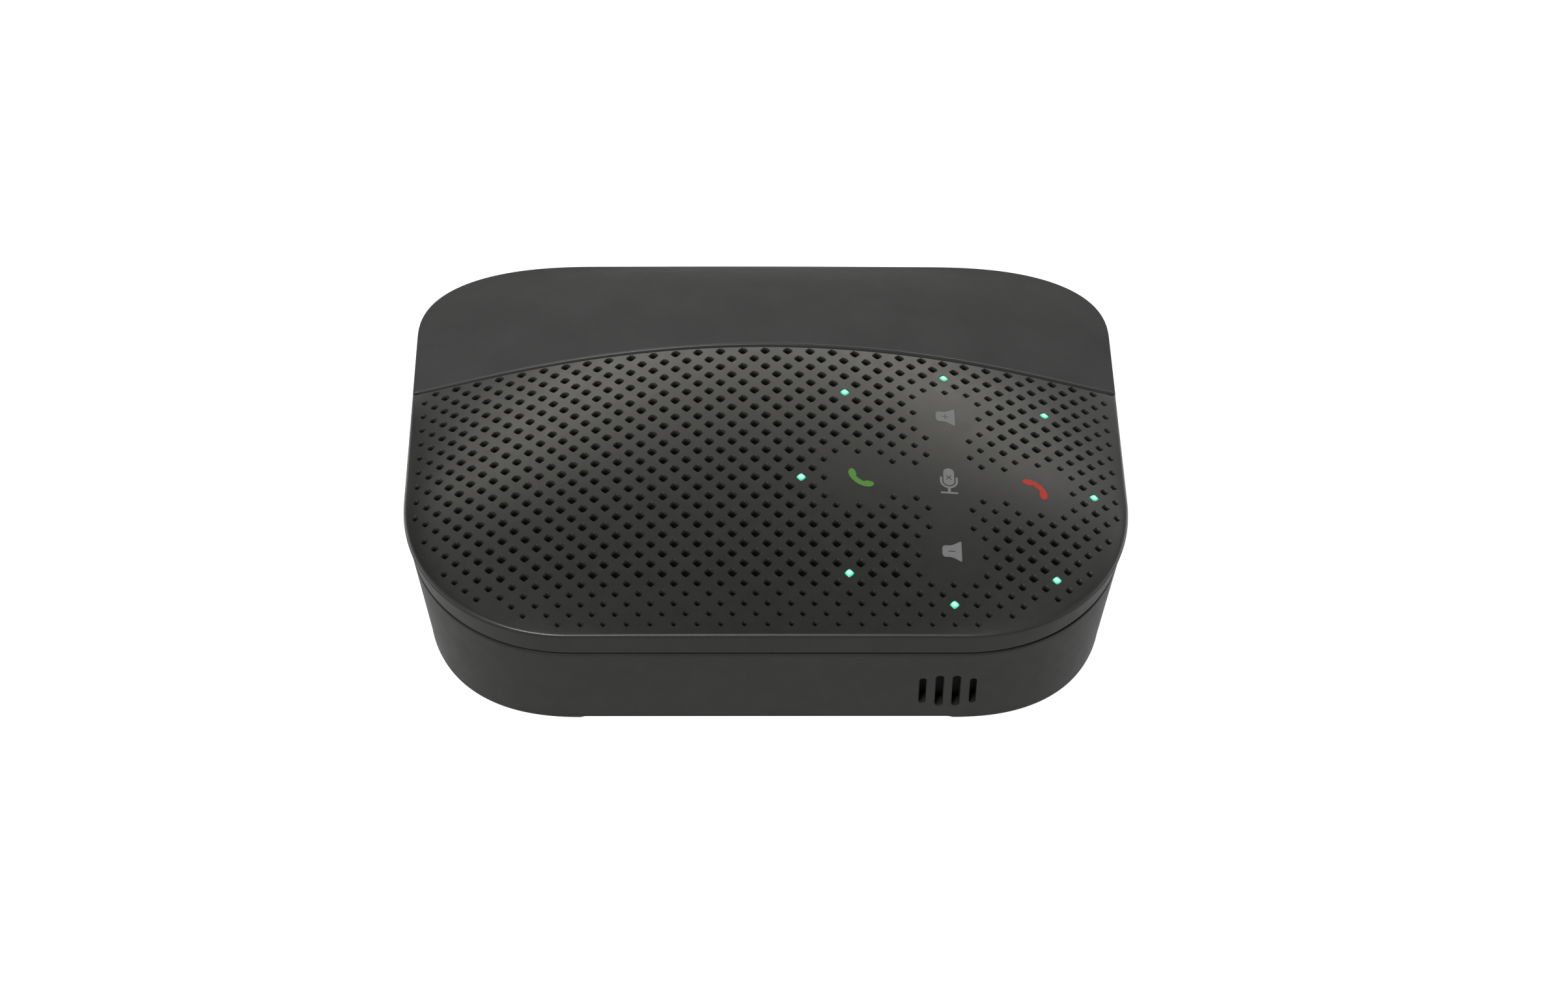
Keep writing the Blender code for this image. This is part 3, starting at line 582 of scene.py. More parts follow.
def grid_places():
    """Every hole as (x, y, area), and the solid places of the grid between them."""
    holes, solid = [], []
    for row in range(FIRST_ROW, LAST_ROW + 1):
        for column in range(-LAST_COLUMN, LAST_COLUMN + 1):
            across, along = column - KEYPAD_COLUMN, row - KEYPAD_ROW
            near, far = sorted((abs(across), abs(along)))
            x, y = column_x(column), KEYPAD_Y - along * HALF_PITCH
            between = (column + row) % 2 == 0
            if not between and abs(column) > ROW_ENDS.get(row, LAST_COLUMN - row % 2):
                continue
            if between or in_key_blank(near, far):
                solid.append((x, y))
                continue
            rim = RIM_SHARE + max(0.0, rim_distance(x, y) - RIM_REACH) * RIM_GAIN
            area = min(HOLE_AREA * min(1.0, rim), FRONT_AREAS.get(row, HOLE_AREA),
                       KEY_AREAS[key_level(near, far)])
            if (across, -along) in LIGHT_STEPS:
                area = HOLE_AREA
            holes.append((x, y, area))
    return holes, solid


def hole_outline(area, grow=0.0):
    """A square with round corners, standing on one corner."""
    side = math.sqrt(area / HOLE_FILL) / 2
    radius = HOLE_ROUNDING * side
    flat = side - radius
    return np.array(rotated(rounded_corners(-flat, flat, -flat, flat, radius + grow, 3), 45))


def crease_rings(z_in, slope, low_z):
    """Rounded crease between the band and a surface that comes in at z_in with a slope."""
    start = at_height(RING, low_z)
    control = at_height(RING, np.maximum(z_in - slope * CREASE_INSET, low_z + 0.05))
    end = at_height(offset(CREASE_INSET), z_in)
    return [(1 - t) ** 2 * start + 2 * t * (1 - t) * control + t * t * end
            for t in (0.0, 0.2, 0.4, 0.6, 0.8, 1.0)]


def cover_rings():
    """Rows round the cover: up its band, over the crease, and its inner side."""
    front = np.arange(len(RING)) < FRONT_COUNT
    step = 0.3
    inner, deeper = offset(CREASE_INSET), offset(CREASE_INSET + step)
    z_in = RIM_Z + np.where(front, dome(*inner.T), -LEDGE_DROP)
    slope = np.where(front, (dome(*deeper.T) - dome(*inner.T)) / step, LEDGE_DROP)
    crease = crease_rings(z_in, slope, RIM_Z - CREASE_DEPTH)
    ledge = scaled(LEDGE_INSET)
    under = np.where(front[:, None], np.column_stack([inner, z_in - COVER_THICK]),
                     at_height(ledge, RIM_Z - LEDGE_DROP))
    below = [under, at_height(ledge, LEDGE_UNDER_Z)]
    band = [at_height(scaled(inset), BAND_Z + rise) for inset, rise in BAND_FOOT]
    low, high = band[-1], crease[0]
    band += [low + (high - low) * share for share in BAND_SHARES]
    from_hinge = np.abs(np.abs(RING[:, 0]) - HINGE.x)
    notch = (RING[:, 1] > HALF_D - 0.01) & (from_hinge < NOTCH_HALF - 0.001)
    for ring in band + crease + below:
        ring[notch, 2] = np.minimum(ring[notch, 2], NOTCH_Z)
        ring[notch, 1] = np.minimum(ring[notch, 1], HALF_D - NOTCH_DEPTH)
    return band, crease, below


def clear_places(holes, solid):
    """Places between the holes and along the rim where the skin may have a free point."""
    hole_x, hole_y, area = np.array(holes).T
    reach = np.sqrt(area) * 0.72 + 0.3
    places = [p for p in solid if rim_distance(*p) > 2.2 and p[1] < GRILLE_END_Y - 0.8]
    for inset in (0.75, 1.05, 1.5):
        places += [tuple(p) for p in offset(inset)[1:FRONT_COUNT - 1]]
    return [(x, y) for x, y in places if np.all(np.hypot(hole_x - x, hole_y - y) > reach)]


def make_top_cover():
    """Perforated dome, rim band all round, ledge and hinge notches behind."""
    band, crease, below = cover_rings()
    shape = Shape()
    rows = shape.strip(band + crease)
    top_row, (under_row, ledge_row) = rows[-1], shape.strip(below)
    shape.band(ledge_row, rows[0])
    for i in range(FRONT_COUNT - 1, len(RING)):
        j = (i + 1) % len(RING)
        shape.faces.append((top_row[i], top_row[j], under_row[j], under_row[i]))

    # plan of the perforated skin: its border, the hole outlines and free points between them
    plan = [tuple(p) for p in offset(CREASE_INSET)[:FRONT_COUNT]]
    top_ids, under_ids = top_row[:FRONT_COUNT], under_row[:FRONT_COUNT]

    def free_points(points):
        xs, ys = np.array(points).T
        z = RIM_Z + dome(xs, ys)
        top_ids.extend(shape.add(np.column_stack([xs, ys, z])))
        under_ids.extend(shape.add(np.column_stack([xs, ys, z - COVER_THICK])))
        first = len(plan)
        plan.extend((float(x), float(y)) for x, y in points)
        return list(range(first, len(plan)))

    reach = abs(plan[0][0]) - 1.0
    columns = [column_x(c) for c in range(30, -31, -1)]
    rear_ids = free_points([(x, GRILLE_END_Y) for x in columns if abs(x) < reach])
    loops, walls, deep = [list(range(FRONT_COUNT)) + rear_ids], [], []
    holes, solid = grid_places()
    for x, y, area in holes:
        wide = hole_outline(area) + (x, y)
        tight = hole_outline(area, -HOLE_CHAMFER) + (x, y)
        loops.append(list(range(len(plan), len(plan) + len(wide))))
        plan.extend((float(a), float(b)) for a, b in wide)
        mouth = shape.add(at_height(wide, RIM_Z + dome(*wide.T)))
        height = RIM_Z + dome(*tight.T)
        throat, lit, floor = [shape.add(at_height(tight, height - depth))
                              for depth in (HOLE_CHAMFER, HOLE_LIT_DEPTH, COVER_THICK)]
        shape.band(mouth, throat)
        walls += range(len(shape.faces), len(shape.faces) + 2 * len(wide))
        shape.band(throat, lit)
        shape.band(lit, floor)
        deep += lit + floor
        top_ids.extend(mouth)
        under_ids.extend(floor)
    free_points(clear_places(holes, solid))

    _, _, triangles, sources, _, owners = delaunay_2d_cdt(
        [Vector(p) for p in plan], [], loops, 1, 1e-6)
    for triangle, owner in zip(triangles, owners):
        if list(owner) == [0]:          # inside the border and in no hole
            corners = [sources[i][0] for i in triangle]
            shape.faces.append(tuple(top_ids[i] for i in corners))
            shape.faces.append(tuple(under_ids[i] for i in reversed(corners)))
    line = [FRONT_COUNT - 1] + rear_ids + [0]
    shape.band([top_ids[i] for i in line], [under_ids[i] for i in line], closed=False)
    add_bulkhead(shape)
    add_hinge_bosses(shape)

    cover = shape.object("grille_cover", "housing", "charcoal_satin", ("top_cover",))
    for name in ("hole_walls", "charcoal_case", "bead"):
        cover.data.materials.append(FINISH[name])
    for face in walls:
        cover.data.polygons[face].material_index = 1
    sheen = len(RING) * (len(band) + 2)      # only the upper bands of the crease shine
    for face in range(len(RING) * (len(rows) - 1)):
        cover.data.polygons[face].material_index = 3 if face >= sheen else 2
    # painted shade: points deep in a hole get 1.0, which darkens the hole walls there
    shading = cover.data.attributes.new("depth", 'FLOAT', 'POINT')
    for point in deep:
        shading.data[point].value = 1.0
    true_normals(cover, set(top_ids))


def add_bulkhead(shape):
    """The wall that closes the rear end of the grille down to the stand tray."""
    low = span("stand_tray")[1].z + 0.3
    front, rear = 14.0, 15.6
    sections = []
    for x in np.linspace(-75.0, 75.0, 61):
        top = max(RIM_Z + float(dome(x, 15.0)) - COVER_THICK + 0.1, low + 0.6)
        sections.append([(x, front, low), (x, rear, low), (x, rear, top), (x, front, top)])
    shape.loft(sections)


def add_hinge_bosses(shape):
    for side in (-1, 1):
        for end in (-1, 1):
            x = side * HINGE.x + end * BOSS_STEP
            shape.block((x - 2.0, 57.7, 23.8), (x + 2.0, 60.4, 27.2), 0.5)


def true_normals(obj, top_points):
    """Give the perforated dome the normals of the smooth surface, whatever its triangles."""
    mesh = obj.data
    normals = [tuple(n.vector) for n in mesh.corner_normals]
    places = np.array([tuple(v.co) for v in mesh.vertices]) / MM
    wanted = dome_normals(places[:, 0], places[:, 1])
    for face in mesh.polygons:
        if len(face.vertices) == 3 and face.normal.z > 0 and top_points.issuperset(face.vertices):
            for corner, vertex in zip(face.loop_indices, face.vertices):
                normals[corner] = tuple(wanted[vertex])
    mesh.normals_split_custom_set(normals)


# ---- stand lid

# front lip of the lid: distance behind its front edge, height against the lid's surface
LIP = ((0.0, -1.3), (0.0, -0.5), (0.05, -0.28), (0.16, -0.1), (0.32, 0.0), (0.5, 0.02),
       (0.75, 0.01), (1.1, 0.0), (1.5, 0.0))
LIP_SHEEN = (3, 5)             # the bands of the lip that carry its line of light
LID_THICK = 1.8
LID_EDGE_Z = RIM_Z + 0.3
# rounded edge of the lid: inset and share of the edge's height, from the top down
LID_EDGE = ((0.3, 0.8), (0.14, 0.45), (0.1, 0.15), (0.3, 0.0))


def lid_rows(inset, drop, lip=LIP):
    """Rows of points across the lid, front to back, each as wide as the outline there."""
    rear = offset(inset)[FRONT_COUNT:]
    rear = rear[(rear[:, 0] > 0) & (rear[:, 1] > FLAP_FRONT_Y + 2.2)]
    last = int(np.argmax(rear[:, 0] <= HALF_W - REAR_CORNER[0] + 0.01))
    rows = [(HALF_W - inset, FLAP_FRONT_Y + back, height) for back, height in lip]
    rows += [(x, y, 0.0) for x, y in rear[:last + 1]]
    across = np.sin(np.linspace(-1, 1, 91) * math.pi / 2)
    grid = []
    for reach, y, height in rows:
        xs, ys = across * reach, np.full_like(across, y)
        grid.append(np.column_stack([xs, ys, RIM_Z + dome(xs, ys) + FLAP_PROUD + height - drop]))
    return grid


def grid_border(grid):
    """The border of a grid as one loop: front row, right side, rear row, left side."""
    rows, columns = len(grid), len(grid[0])
    loop = [(0, j) for j in range(columns)] + [(i, columns - 1) for i in range(1, rows)]
    loop += [(rows - 1, j) for j in range(columns - 2, -1, -1)]
    return loop + [(i, 0) for i in range(rows - 2, 0, -1)]


def make_lid():
    """Domed lid with a rounded edge, a fine line of light on its front lip, and two knuckles."""
    top = lid_rows(0.5, 0.0)
    under = lid_rows(LID_THICK, LID_THICK, [(back, 0.0) for back, _ in LIP])
    for row in under:
        row[:, 2] = np.maximum(row[:, 2], LID_EDGE_Z)
    shape = Shape()
    top_ids, under_ids = (shape.strip(grid, closed=False) for grid in (top, under))
    loop = grid_border(top)
    columns = len(top[0]) - 1
    bead = list(range(columns * LIP_SHEEN[0], columns * LIP_SHEEN[1]))
    bands = [[top_ids[i][j] for i, j in loop]]
    for inset, level in LID_EDGE:
        edge = lid_rows(inset, 0.0)
        points = []
        for i, j in loop:
            t, u = top[i][j], under[i][j]
            if i == 0:
                points.append(t + (u - t) * (1 - level))
            else:
                x, y = edge[i][j][:2]
                points.append((x, y, LID_EDGE_Z + (t[2] - LID_EDGE_Z) * level))
        bands.append(shape.add(points))
    bands.append([under_ids[i][j] for i, j in loop])
    for low, high in zip(bands, bands[1:]):
        bead += range(len(shape.faces), len(shape.faces) + columns)
        shape.band(low, high)

    for side in (-1, 1):
        x = side * HINGE.x
        add_knuckle(shape, x - KNUCKLE_HALF, x + KNUCKLE_HALF)
        shape.block((x - 4.6, 59.3, HINGE.z + 0.95), (x + 4.6, 60.9, LID_EDGE_Z + 0.3))
    lid = shape.object("stand_lid", "flap", "charcoal_flap", ("stand_flap",))
    lid.data.materials.append(FINISH["bead"])
    for face in bead:
        lid.data.polygons[face].material_index = 1


def add_knuckle(shape, low, high):
    """A hinge barrel along X with its bore."""
    profile = ((0.95, low), (1.2, low), (1.4, low + 0.2), (1.4, high - 0.2), (1.2, high),
               (0.95, high))
    shape.loft([[(x, HINGE.y + a, HINGE.z + b) for a, b in circle(radius, 32)]
                for radius, x in profile], loop=True)


# ---- lower case

MIC_SLOT_X, MIC_SLOT_Z, MIC_PITCH = 37.9, 9.4, 3.53
# place in pitches, width and height of each microphone slot
MIC_SLOTS = ((-1.5, 1.45, 8.3), (-0.5, 1.7, 10.1), (0.5, 1.7, 10.1), (1.5, 1.45, 8.3))
PORT_Z = 12.0
RIGHT, FRONT, REAR = (0, 1), (1, -1), (1, 1)       # walls of the case: axis and side


def slot_outline(width, tall, grow=0.0):
    """An upright slot with round ends about the origin."""
    radius = width / 2
    middle = tall / 2 - radius
    return (arc((0.0, middle), radius + grow, 0, 180, 12)
            + arc((0.0, -middle), radius + grow, 180, 180, 12))


def rounded_rectangle(width, tall, radius, grow=0.0, steps=6):
    x, y = width / 2 - radius, tall / 2 - radius
    return rounded_corners(-x, x, -y, y, radius + grow, steps)


def wall_inset(z, axis):
    """How far the case's wall is drawn in at a height."""
    part = (SEAM_Z - z) / WALL_RISE
    return SEAM_INSET[axis] + (FOOT_INSET[axis] - SEAM_INSET[axis]) * part


def wall_cutter(wall, along, z, depth, chamfer, outline, *size, **options):
    """A cutter that goes square into a leaning wall of the case, with a chamfered mouth.
    outline is the function that draws the opening from its size."""
    axis, side = wall
    lean = math.atan2(FOOT_INSET[axis] - SEAM_INSET[axis], WALL_RISE)
    outward = Vector((0, 0, -math.sin(lean)))
    outward[axis] = side * math.cos(lean)
    across = Vector((0, 0, 1)).cross(outward).normalized()
    up = outward.cross(across)
    centre = Vector((along, along, z))
    centre[axis] = side * ((HALF_W, HALF_D)[axis] - wall_inset(z, axis))
    mouth = ((1.5, chamfer + 1.5), (0.0, chamfer), (-chamfer, 0.0), (-depth, 0.0))
    return Shape().loft([
        [centre + across * a + up * b + outward * out
         for a, b in outline(*size, grow=grow, **options)] for out, grow in mouth])


def add_tab(shape, angle, inner, outer, half_deg, low, high):
    """A tab or notch of the bayonet ring: a short sector between two radii."""
    plan = (arc((0, 0), inner, angle - half_deg, 2 * half_deg, 2)
            + arc((0, 0), outer, angle + half_deg, -2 * half_deg, 2))
    return shape.loft([[(x, y, z) for x, y in plan] for z in (low, high)])


def case_shell():
    """The tapered tub: round the foot, up the wall, over the seam and down inside."""
    foot_x, foot_y = FOOT_INSET

    def foot(more, z):
        return at_height(scaled((foot_x + more, foot_y + more), FOOT_RING), z)

    def seam(more, z):
        return at_height(scaled((SEAM_INSET[0] + more, SEAM_INSET[1] + more)), z)

    wall_low, wall_high = foot(0.0, CASE_FOOT_Z + 1.0), seam(0.0, SEAM_Z - 0.3)
    return Shape().loft([
        foot(0.8, CASE_FOOT_Z), foot(0.3, CASE_FOOT_Z + 0.04), foot(0.1, CASE_FOOT_Z + 0.17),
        foot(0.02, CASE_FOOT_Z + 0.45), wall_low,
        *(wall_low + (wall_high - wall_low) * share for share in WALL_SHARES), wall_high,
        seam(0.05, SEAM_Z - 0.12), seam(0.25, SEAM_Z), seam(WALL, SEAM_Z), foot(WALL, FLOOR_Z)])


def relief_cutter(side):
    """Raises the bottom edge of the case along its front or rear."""
    end = [(-39.6, CASE_FOOT_Z - 1), (-39.6, CASE_FOOT_Z), (-39.2, CASE_FOOT_Z + 0.25),
           (-38.5, RELIEF_Z - 0.03), (-37.9, RELIEF_Z)]
    section = end + [(-x, z) for x, z in reversed(end)]
    return Shape().loft([[(x, y, z) for x, z in section]
                         for y in sorted((side * 50.0, side * 70.0))])


def make_case():
    """The case, cut for the cable bay, screws, microphone slots, sockets and side controls."""
    bay_r, bay_top, screw_r, screw_top = 38.0, 4, 3.0, 3.4
    cutters = [Shape().turned([(bay_r, 0), (bay_r, bay_top)], (0, 0), 128)]
    cutters += [add_tab(Shape(), angle + BAY_TWIST, 36.0, 40.0, 6.5, 0.1, 4.1)
                for angle in BAY_ANGLES]
    cutters += [Shape().turned([(screw_r, 0), (screw_r, screw_top)], middle(node), 40)
                for node in CASE_SCREWS]
    cutters += [relief_cutter(side) for side in (-1, 1)]
    for step, *size in MIC_SLOTS:
        cutters.append(wall_cutter(FRONT, MIC_SLOT_X + step * MIC_PITCH, MIC_SLOT_Z, 4.0, 0.16,
                                   slot_outline, *size))
    for node, *size in (("usb_socket", 9.2, 4.4, 1.4), ("audio_jack", 7.0, 7.0, 3.49)):
        cutters.append(wall_cutter(REAR, middle(node)[0], PORT_Z, 4.5, 0.3,
                                   rounded_rectangle, *size))
    _, knob_y, control_z = middle("power_slider")
    slot_y = knob_y + 1.5                   # the knob rests 1.5 mm before the slot's middle
    cutters.append(wall_cutter(RIGHT, slot_y, control_z, 1.8, 0.25, rounded_rectangle,
                               11.0, 6.0, 1.2))
    cutters.append(Shape().block((70.0, slot_y - 3.0, control_z - 1.0),
                                 (76.0, slot_y + 3.0, control_z + 1.0), 0.1))
    cutters.append(wall_cutter(RIGHT, middle("pairing_button")[1], control_z, 5.0, 0.3,
                               rounded_rectangle, 5.6, 5.6, 2.79, steps=10))
    dress(carved("case_shell", case_shell(), cutters), "housing", "charcoal_case",
          ("lower_case",), 28)


# ---- lights and key symbols

def make_lenses():
    """A domed lens in the hole above each light pipe."""
    for number in range(1, 9):
        node = f"light_pipe_{number}"
        x, y, _ = middle(node)
        z = RIM_Z + float(dome(x, y))
        foot = hole_outline(HOLE_AREA, -0.08)
        rings = [at_height(foot, span(node)[0].z - z)]
        for grow, height in ((-0.08, -0.35), (-0.08, -0.12), (-0.25, 0.0), (-0.5, 0.08),
                             (-0.72, 0.11)):
            ring = hole_outline(HOLE_AREA, grow)
            tilt = dome(x + ring[:, 0], y + ring[:, 1]) + RIM_Z - z
            rings.append(np.column_stack([ring, tilt + height]))
        lens = Shape().loft(rings).object(f"light_lens_{number}", "housing", "light_pipe",
                                          (node,))
        lens.matrix_world = Matrix.Translation(Vector((x, y, z)) * MM)
        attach(lens, "housing")


def softened(points, share):
    """Round off a closed outline by cutting its corners twice."""
    for _ in range(2):
        points = [p for (ax, ay), (bx, by) in zip(points, points[1:] + points[:1])
                  for p in ((ax + (bx - ax) * share, ay + (by - ay) * share),
                            (bx - (bx - ax) * share, by - (by - ay) * share))]
    return points


def counter_clockwise(points):
    points = list(points)
    around = sum(ax * by - bx * ay for (ax, ay), (bx, by) in zip(points, points[1:] + points[:1]))
    return points if around > 0 else points[::-1]


def bar(length, width):
    """A straight bar with round ends."""
    radius = width / 2
    half = arc((length / 2 - radius, 0.0), radius, -90, 180, 6)
    return half + [(-x, -y) for x, y in half]


def plus_sign(reach, half, centre=(0, 0), turn_deg=0):
    """A cross of two bars as one outline."""
    arm = [(half, half), (half, reach), (-half, reach)]
    return [p for quarter in range(4) for p in rotated(arm, quarter * 90 + turn_deg, centre)]


def speaker_symbol():
    half = [(-2.05, 1.45), (-0.3, 1.45), (0.5, 1.75), (1.9, 2.6), (2.05, 2.45)]
    return softened(half + [(x, -y) for x, y in reversed(half)], 0.2)


def microphone_symbol():
    """The capsule, and the cradle with its stem and foot."""
    radius, outer, inner = 1.15, 1.92, 1.42
    capsule = arc((0.0, 2.45), radius, 0, 180, 12) + arc((0, 0), radius, 180, 180, 12)
    cradle = [(outer, radius)] + arc((0, 0), outer, 0, -77.4, 8)
    cradle += [(0.3, -2.1), (0.3, -2.95), (1.8, -2.95), (1.88, -3.18), (1.8, -3.42)]
    cradle += [(-x, y) for x, y in reversed(cradle)]
    cradle += [(-inner, radius)] + arc((0, 0), inner, -180, 180, 16) + [(inner, radius)]
    return capsule, cradle


def handset_symbol(turn_deg, side, size=1.0):
    """A telephone handset; side is 1 when its hollow faces up and -1 when it faces down."""
    half = [(0, -0.38), (1.15, -0.25), (1.25, 0.12), (1.4, 0.32), (2.35, 0.85), (2.75, 0.9),
            (3.1, 0.7), (3.25, 0.3), (3.1, -0.35), (2.4, -1.02), (1.2, -1.48), (0, -1.62)]
    outline = half + [(-u, v) for u, v in reversed(half[1:-1])]
    middle_v = 0.45
    return softened(rotated([(u * size, side * (v * size + middle_v)) for u, v in outline],
                            turn_deg), 0.22)


def make_symbol(name, centre, outline, gaps=(), look="ink_grey"):
    """Printed symbol: a very thin layer on the dome, with gaps where the plastic shows."""
    proud, deep = 0.03, 0.05
    plan, loops = [], []
    for loop in (outline, *gaps):
        loops.append(list(range(len(plan), len(plan) + len(loop))))
        plan += counter_clockwise(loop)
    steps = np.arange(-3.6, 3.7, 0.45)
    plan += [(x, y) for x in steps for y in steps]      # inner points, so that it follows the dome
    found, _, triangles, _, _, owners = delaunay_2d_cdt(
        [Vector(p) for p in plan], [], loops, 1, 1e-5)
    inside = [triangle for triangle, owner in zip(triangles, owners) if set(owner) == {0}]
    used = sorted({i for triangle in inside for i in triangle})
    xs = np.array([found[i].x for i in used]) + centre[0]
    ys = np.array([found[i].y for i in used]) + centre[1]
    z = RIM_Z + dome(xs, ys)
    shape = Shape()
    top = dict(zip(used, shape.add(np.column_stack([xs, ys, z + proud]))))
    low = dict(zip(used, shape.add(np.column_stack([xs, ys, z - deep]))))
    sides = {}
    for triangle in inside:
        shape.faces.append(tuple(top[i] for i in triangle))
        shape.faces.append(tuple(low[i] for i in reversed(triangle)))
        sides.update(dict.fromkeys(zip(triangle, triangle[1:] + triangle[:1])))
    shape.faces += [(top[a], top[b], low[b], low[a]) for a, b in sides if (b, a) not in sides]
    shape.object("symbol_" + name, "housing", look, degrees=50)


def make_symbols():
    step = KEY_STEPS * HALF_PITCH
    x0 = column_x(KEYPAD_COLUMN) - 0.1
    half_bar = 0.1
    make_symbol("volume_up", (x0 - 0.1, KEYPAD_Y + step - 0.45), speaker_symbol(),
                [plus_sign(0.75, half_bar)])
    make_symbol("volume_down", (x0, KEYPAD_Y - step + 1.1), speaker_symbol(),
                [bar(1.5, 2 * half_bar)])
    capsule, cradle = microphone_symbol()
    place = (x0, KEYPAD_Y + 0.15)
    make_symbol("mute_capsule", place, capsule, [plus_sign(0.8, half_bar, (0, 1.05), 45)])
    make_symbol("mute_cradle", place, cradle)
    make_symbol("answer", (x0 - step + 0.4, KEYPAD_Y - 0.35), handset_symbol(-40, 1),
                look="ink_green")
    make_symbol("hang_up", (x0 + step - 0.65, KEYPAD_Y + 0.3), handset_symbol(-47, -1, 1.05),
                look="ink_red")


# ---- controls, underside, screws

def make_slider(ridges=7, ridge_height=0.16, inner_x=74.35):
    """Ribbed knob of the power slide, leaning with the wall, and its stem."""
    low, high = span("power_slider")
    _, middle_y, middle_z = middle("power_slider")
    lean = (FOOT_INSET[0] - SEAM_INSET[0]) / WALL_RISE
    sections = []
    for y in np.linspace(low.y, high.y, 8 * ridges + 1):
        ridge = ridge_height * math.cos((y - low.y) / (high.y - low.y) * 2 * math.pi * ridges)
        edge = min(y - low.y, high.y - y)
        x = high.x - 0.22 + ridge * min(1.0, edge / 0.8) - 0.5 * max(0.0, 0.5 - edge)
        section = [(inner_x, low.z), (x - 0.3, low.z), (x, low.z + 0.3), (x, high.z - 0.3),
                   (x - 0.3, high.z), (inner_x, high.z)]
        sections.append([(a - lean * 0.3 * (middle_z - z), y, z) for a, z in section])
    knob = Shape().loft(sections)
    knob.block((low.x, middle_y - 1.2, middle_z - 0.7), (74.6, middle_y + 1.2, middle_z + 0.7), 0.1)
    knob.object("slider_knob", "power_knob", "charcoal_case", ("power_slider",), degrees=40)


def make_button():
    """Round pairing button with a collar inside the wall and a dished face."""
    low, high = span("pairing_button")
    middle_y, middle_z = middle("pairing_button")[1], middle("power_slider")[2]
    profile = ((3.5, low.x), (3.5, low.x + 1.0), (2.5, low.x + 1.0), (2.5, high.x - 0.45),
               (2.38, high.x - 0.2), (2.1, high.x - 0.08), (1.5, high.x - 0.14),
               (0.8, high.x - 0.22), (0.2, high.x - 0.24))
    button = Shape().loft([
        [(x, middle_y + a, middle_z + b) for a, b in circle(radius, 40)] for radius, x in profile])
    button.object("pairing_cap", "pairing_key", "charcoal_case", ("pairing_button",))


def finger_hollow(side):
    """One of the two hollows to turn the base cover by."""
    half_x, half_y = 4.5, 10.0
    return Shape().loft([
        [(side * 13.0 + x * (1 + grow / half_x), y * (1 + grow / half_y), z)
         for x, y in slot_outline(2 * half_x, 2 * half_y)]
        for z, grow in ((-1.0, 0.6), (0.7, 0.0), (1.0, -0.5), (1.25, -1.2))])


def make_underside():
    """Round base cover with its bayonet tabs, and the rubber ring in its groove."""
    radius = 37.6
    disc = Shape().turned([
        (0.01, 2.7), (radius, 2.7), (radius, 1.15), (radius - 0.12, 0.88), (radius - 0.45, 0.7),
        (35.45, 0.7), (35.3, 0.85), (35.3, 1.9), (27.7, 1.9), (27.7, 0.85), (27.55, 0.7),
        (24.6, 0.7), (24.4, 0.95), (23.8, 0.95), (23.6, 0.7), (0.01, 0.7)], (0, 0), 160)
    for angle in BAY_ANGLES:
        add_tab(disc, angle, 35.0, 37.3, 5.0, 2.0, 3.9)
        add_tab(disc, angle, 35.2, 39.6, 4.6, 3.1, 4.1)
    cover = carved("twist_cover", disc, [finger_hollow(side) for side in (-1, 1)])
    dress(cover, "cable_cover", "charcoal_case", ("base_cover",), 30)

    foot = Shape().turned([
        (35.0, 1.6), (35.0, 0.55), (34.85, 0.25), (34.5, 0.06), (34.0, 0.0), (29.0, 0.0),
        (28.5, 0.06), (28.15, 0.25), (28.0, 0.55), (28.0, 1.6)], (0, 0), 160, loop=True)
    foot.object("foot_pad", "cable_cover", "black_rubber", ("foot_ring",))


def make_screws():
    for node in CASE_SCREWS:
        x, y, _ = middle(node)
        top = span(node)[1].z
        screw = Shape().turned([
            (0.05, top), (1.2, top - 0.3), (1.2, 3.1), (2.7, 3.1), (2.7, 1.75), (2.55, 1.4),
            (2.1, 1.18), (1.4, 1.1), (0.05, 1.1)], (x, y), 40)
        recess = Shape().loft([
            [(x + a * share, y + b * share, z) for a, b in plus_sign(1.5, 0.3)]
            for share, z in ((1, 0.9), (0.75, 2.3))])
        dress(carved(node + "_fine", screw, [recess]), "housing", "steel", (node,))


# ---- floor, light, camera

def area_light(name, place, aim, size, power, colour=(1, 1, 1)):
    data = bpy.data.lights.new(name, 'AREA')
    data.shape = 'RECTANGLE'
    data.size, data.size_y = size
    data.energy = power
    data.color = colour
    lamp_obj = bpy.data.objects.new(name, data)
    lamp_obj.location = place
    direction = Vector(aim) - Vector(place)
    lamp_obj.rotation_euler = direction.to_track_quat('-Z', 'Y').to_euler()
    bpy.context.scene.collection.objects.link(lamp_obj)


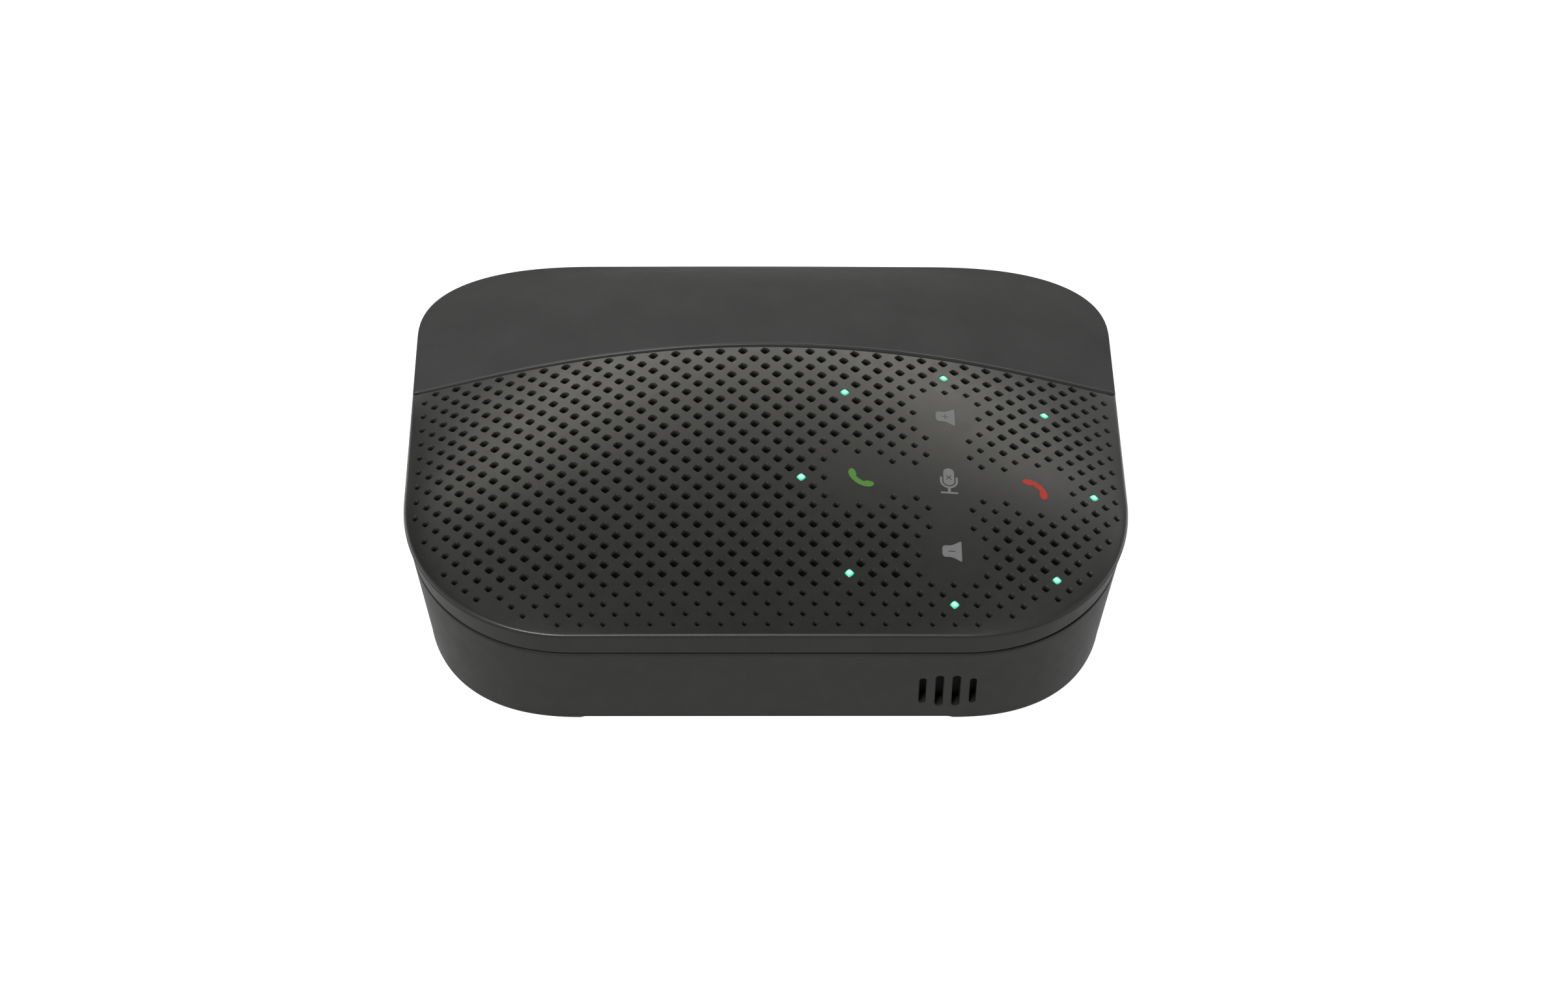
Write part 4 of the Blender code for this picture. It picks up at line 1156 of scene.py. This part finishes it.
def make_studio():
    scene = bpy.context.scene
    scene.view_settings.view_transform = 'Standard'
    world = bpy.data.worlds.new("studio")
    scene.world = world
    world.use_nodes = True
    background = world.node_tree.nodes["Background"].inputs
    background["Color"].default_value = (1, 1, 1, 1)
    background["Strength"].default_value = 0.3

    half_m = 6.0
    mesh = bpy.data.meshes.new("floor")
    mesh.from_pydata([(-half_m, -half_m, 0), (half_m, -half_m, 0), (half_m, half_m, 0),
                      (-half_m, half_m, 0)], [], [(0, 1, 2, 3)])
    floor = bpy.data.objects.new("floor", mesh)
    scene.collection.objects.link(floor)
    look = Look("floor_white", (0.18, 0.18, 0.18), 0.9, Specular_IOR_Level=0.0,
                Emission_Color=(1, 1, 1, 1), Emission_Strength=1.0)
    look.tint(look.noise(3.0), (0.17, 0.17, 0.17), (0.19, 0.19, 0.19))
    mesh.materials.append(look.material)

    area_light("rear_box", (0.0, 1.02, 0.80), (0.0, 0.0, 0.03), (1.05, 0.42), 10.6,
               (1.0, 0.985, 0.92))
    area_light("rear_right", (0.85, 0.85, 0.72), (0.02, 0.0, 0.03), (0.5, 0.5), 2.0)
    area_light("front_key", (-0.38, -0.72, 1.02), (0, 0, 0.02), (0.36, 0.3), 14.0)


CAMERA_FOCAL_PX = 6531.9
IMAGE_WIDTH_PX = 2408
SENSOR_MM = 36.0
CAMERA_ELEVATION = math.radians(41.122)
CAMERA_AZIMUTH = math.radians(-1.338)
CAMERA_ROLL = math.radians(0.904)
CAMERA_AIM_M = (-0.002785, -0.300668, 0.275301)
CAMERA_DISTANCE_M = 0.535733


def make_camera():
    data = bpy.data.cameras.new("camera")
    data.sensor_width = SENSOR_MM
    data.sensor_fit = 'HORIZONTAL'
    data.lens = CAMERA_FOCAL_PX * SENSOR_MM / IMAGE_WIDTH_PX
    data.clip_start = 0.01
    data.clip_end = 20.0
    camera = bpy.data.objects.new("camera", data)
    back = Vector((math.sin(CAMERA_AZIMUTH) * math.cos(CAMERA_ELEVATION),
                   -math.cos(CAMERA_AZIMUTH) * math.cos(CAMERA_ELEVATION),
                   math.sin(CAMERA_ELEVATION)))
    level = Vector((0, 0, 1)).cross(back).normalized()
    upright = back.cross(level)
    right = level * math.cos(CAMERA_ROLL) + upright * math.sin(CAMERA_ROLL)
    up = upright * math.cos(CAMERA_ROLL) - level * math.sin(CAMERA_ROLL)
    place = Vector(CAMERA_AIM_M) + back * CAMERA_DISTANCE_M
    turn = Matrix((right, up, back)).transposed()
    camera.matrix_world = Matrix.Translation(place) @ turn.to_4x4()
    bpy.context.scene.collection.objects.link(camera)
    bpy.context.scene.camera = camera


make_camera()
make_studio()
finish_cad_nodes()
make_top_cover()
make_lid()
make_case()
make_lenses()
make_symbols()
make_slider()
make_button()
make_underside()
make_screws()

bpy.context.view_layer.update()
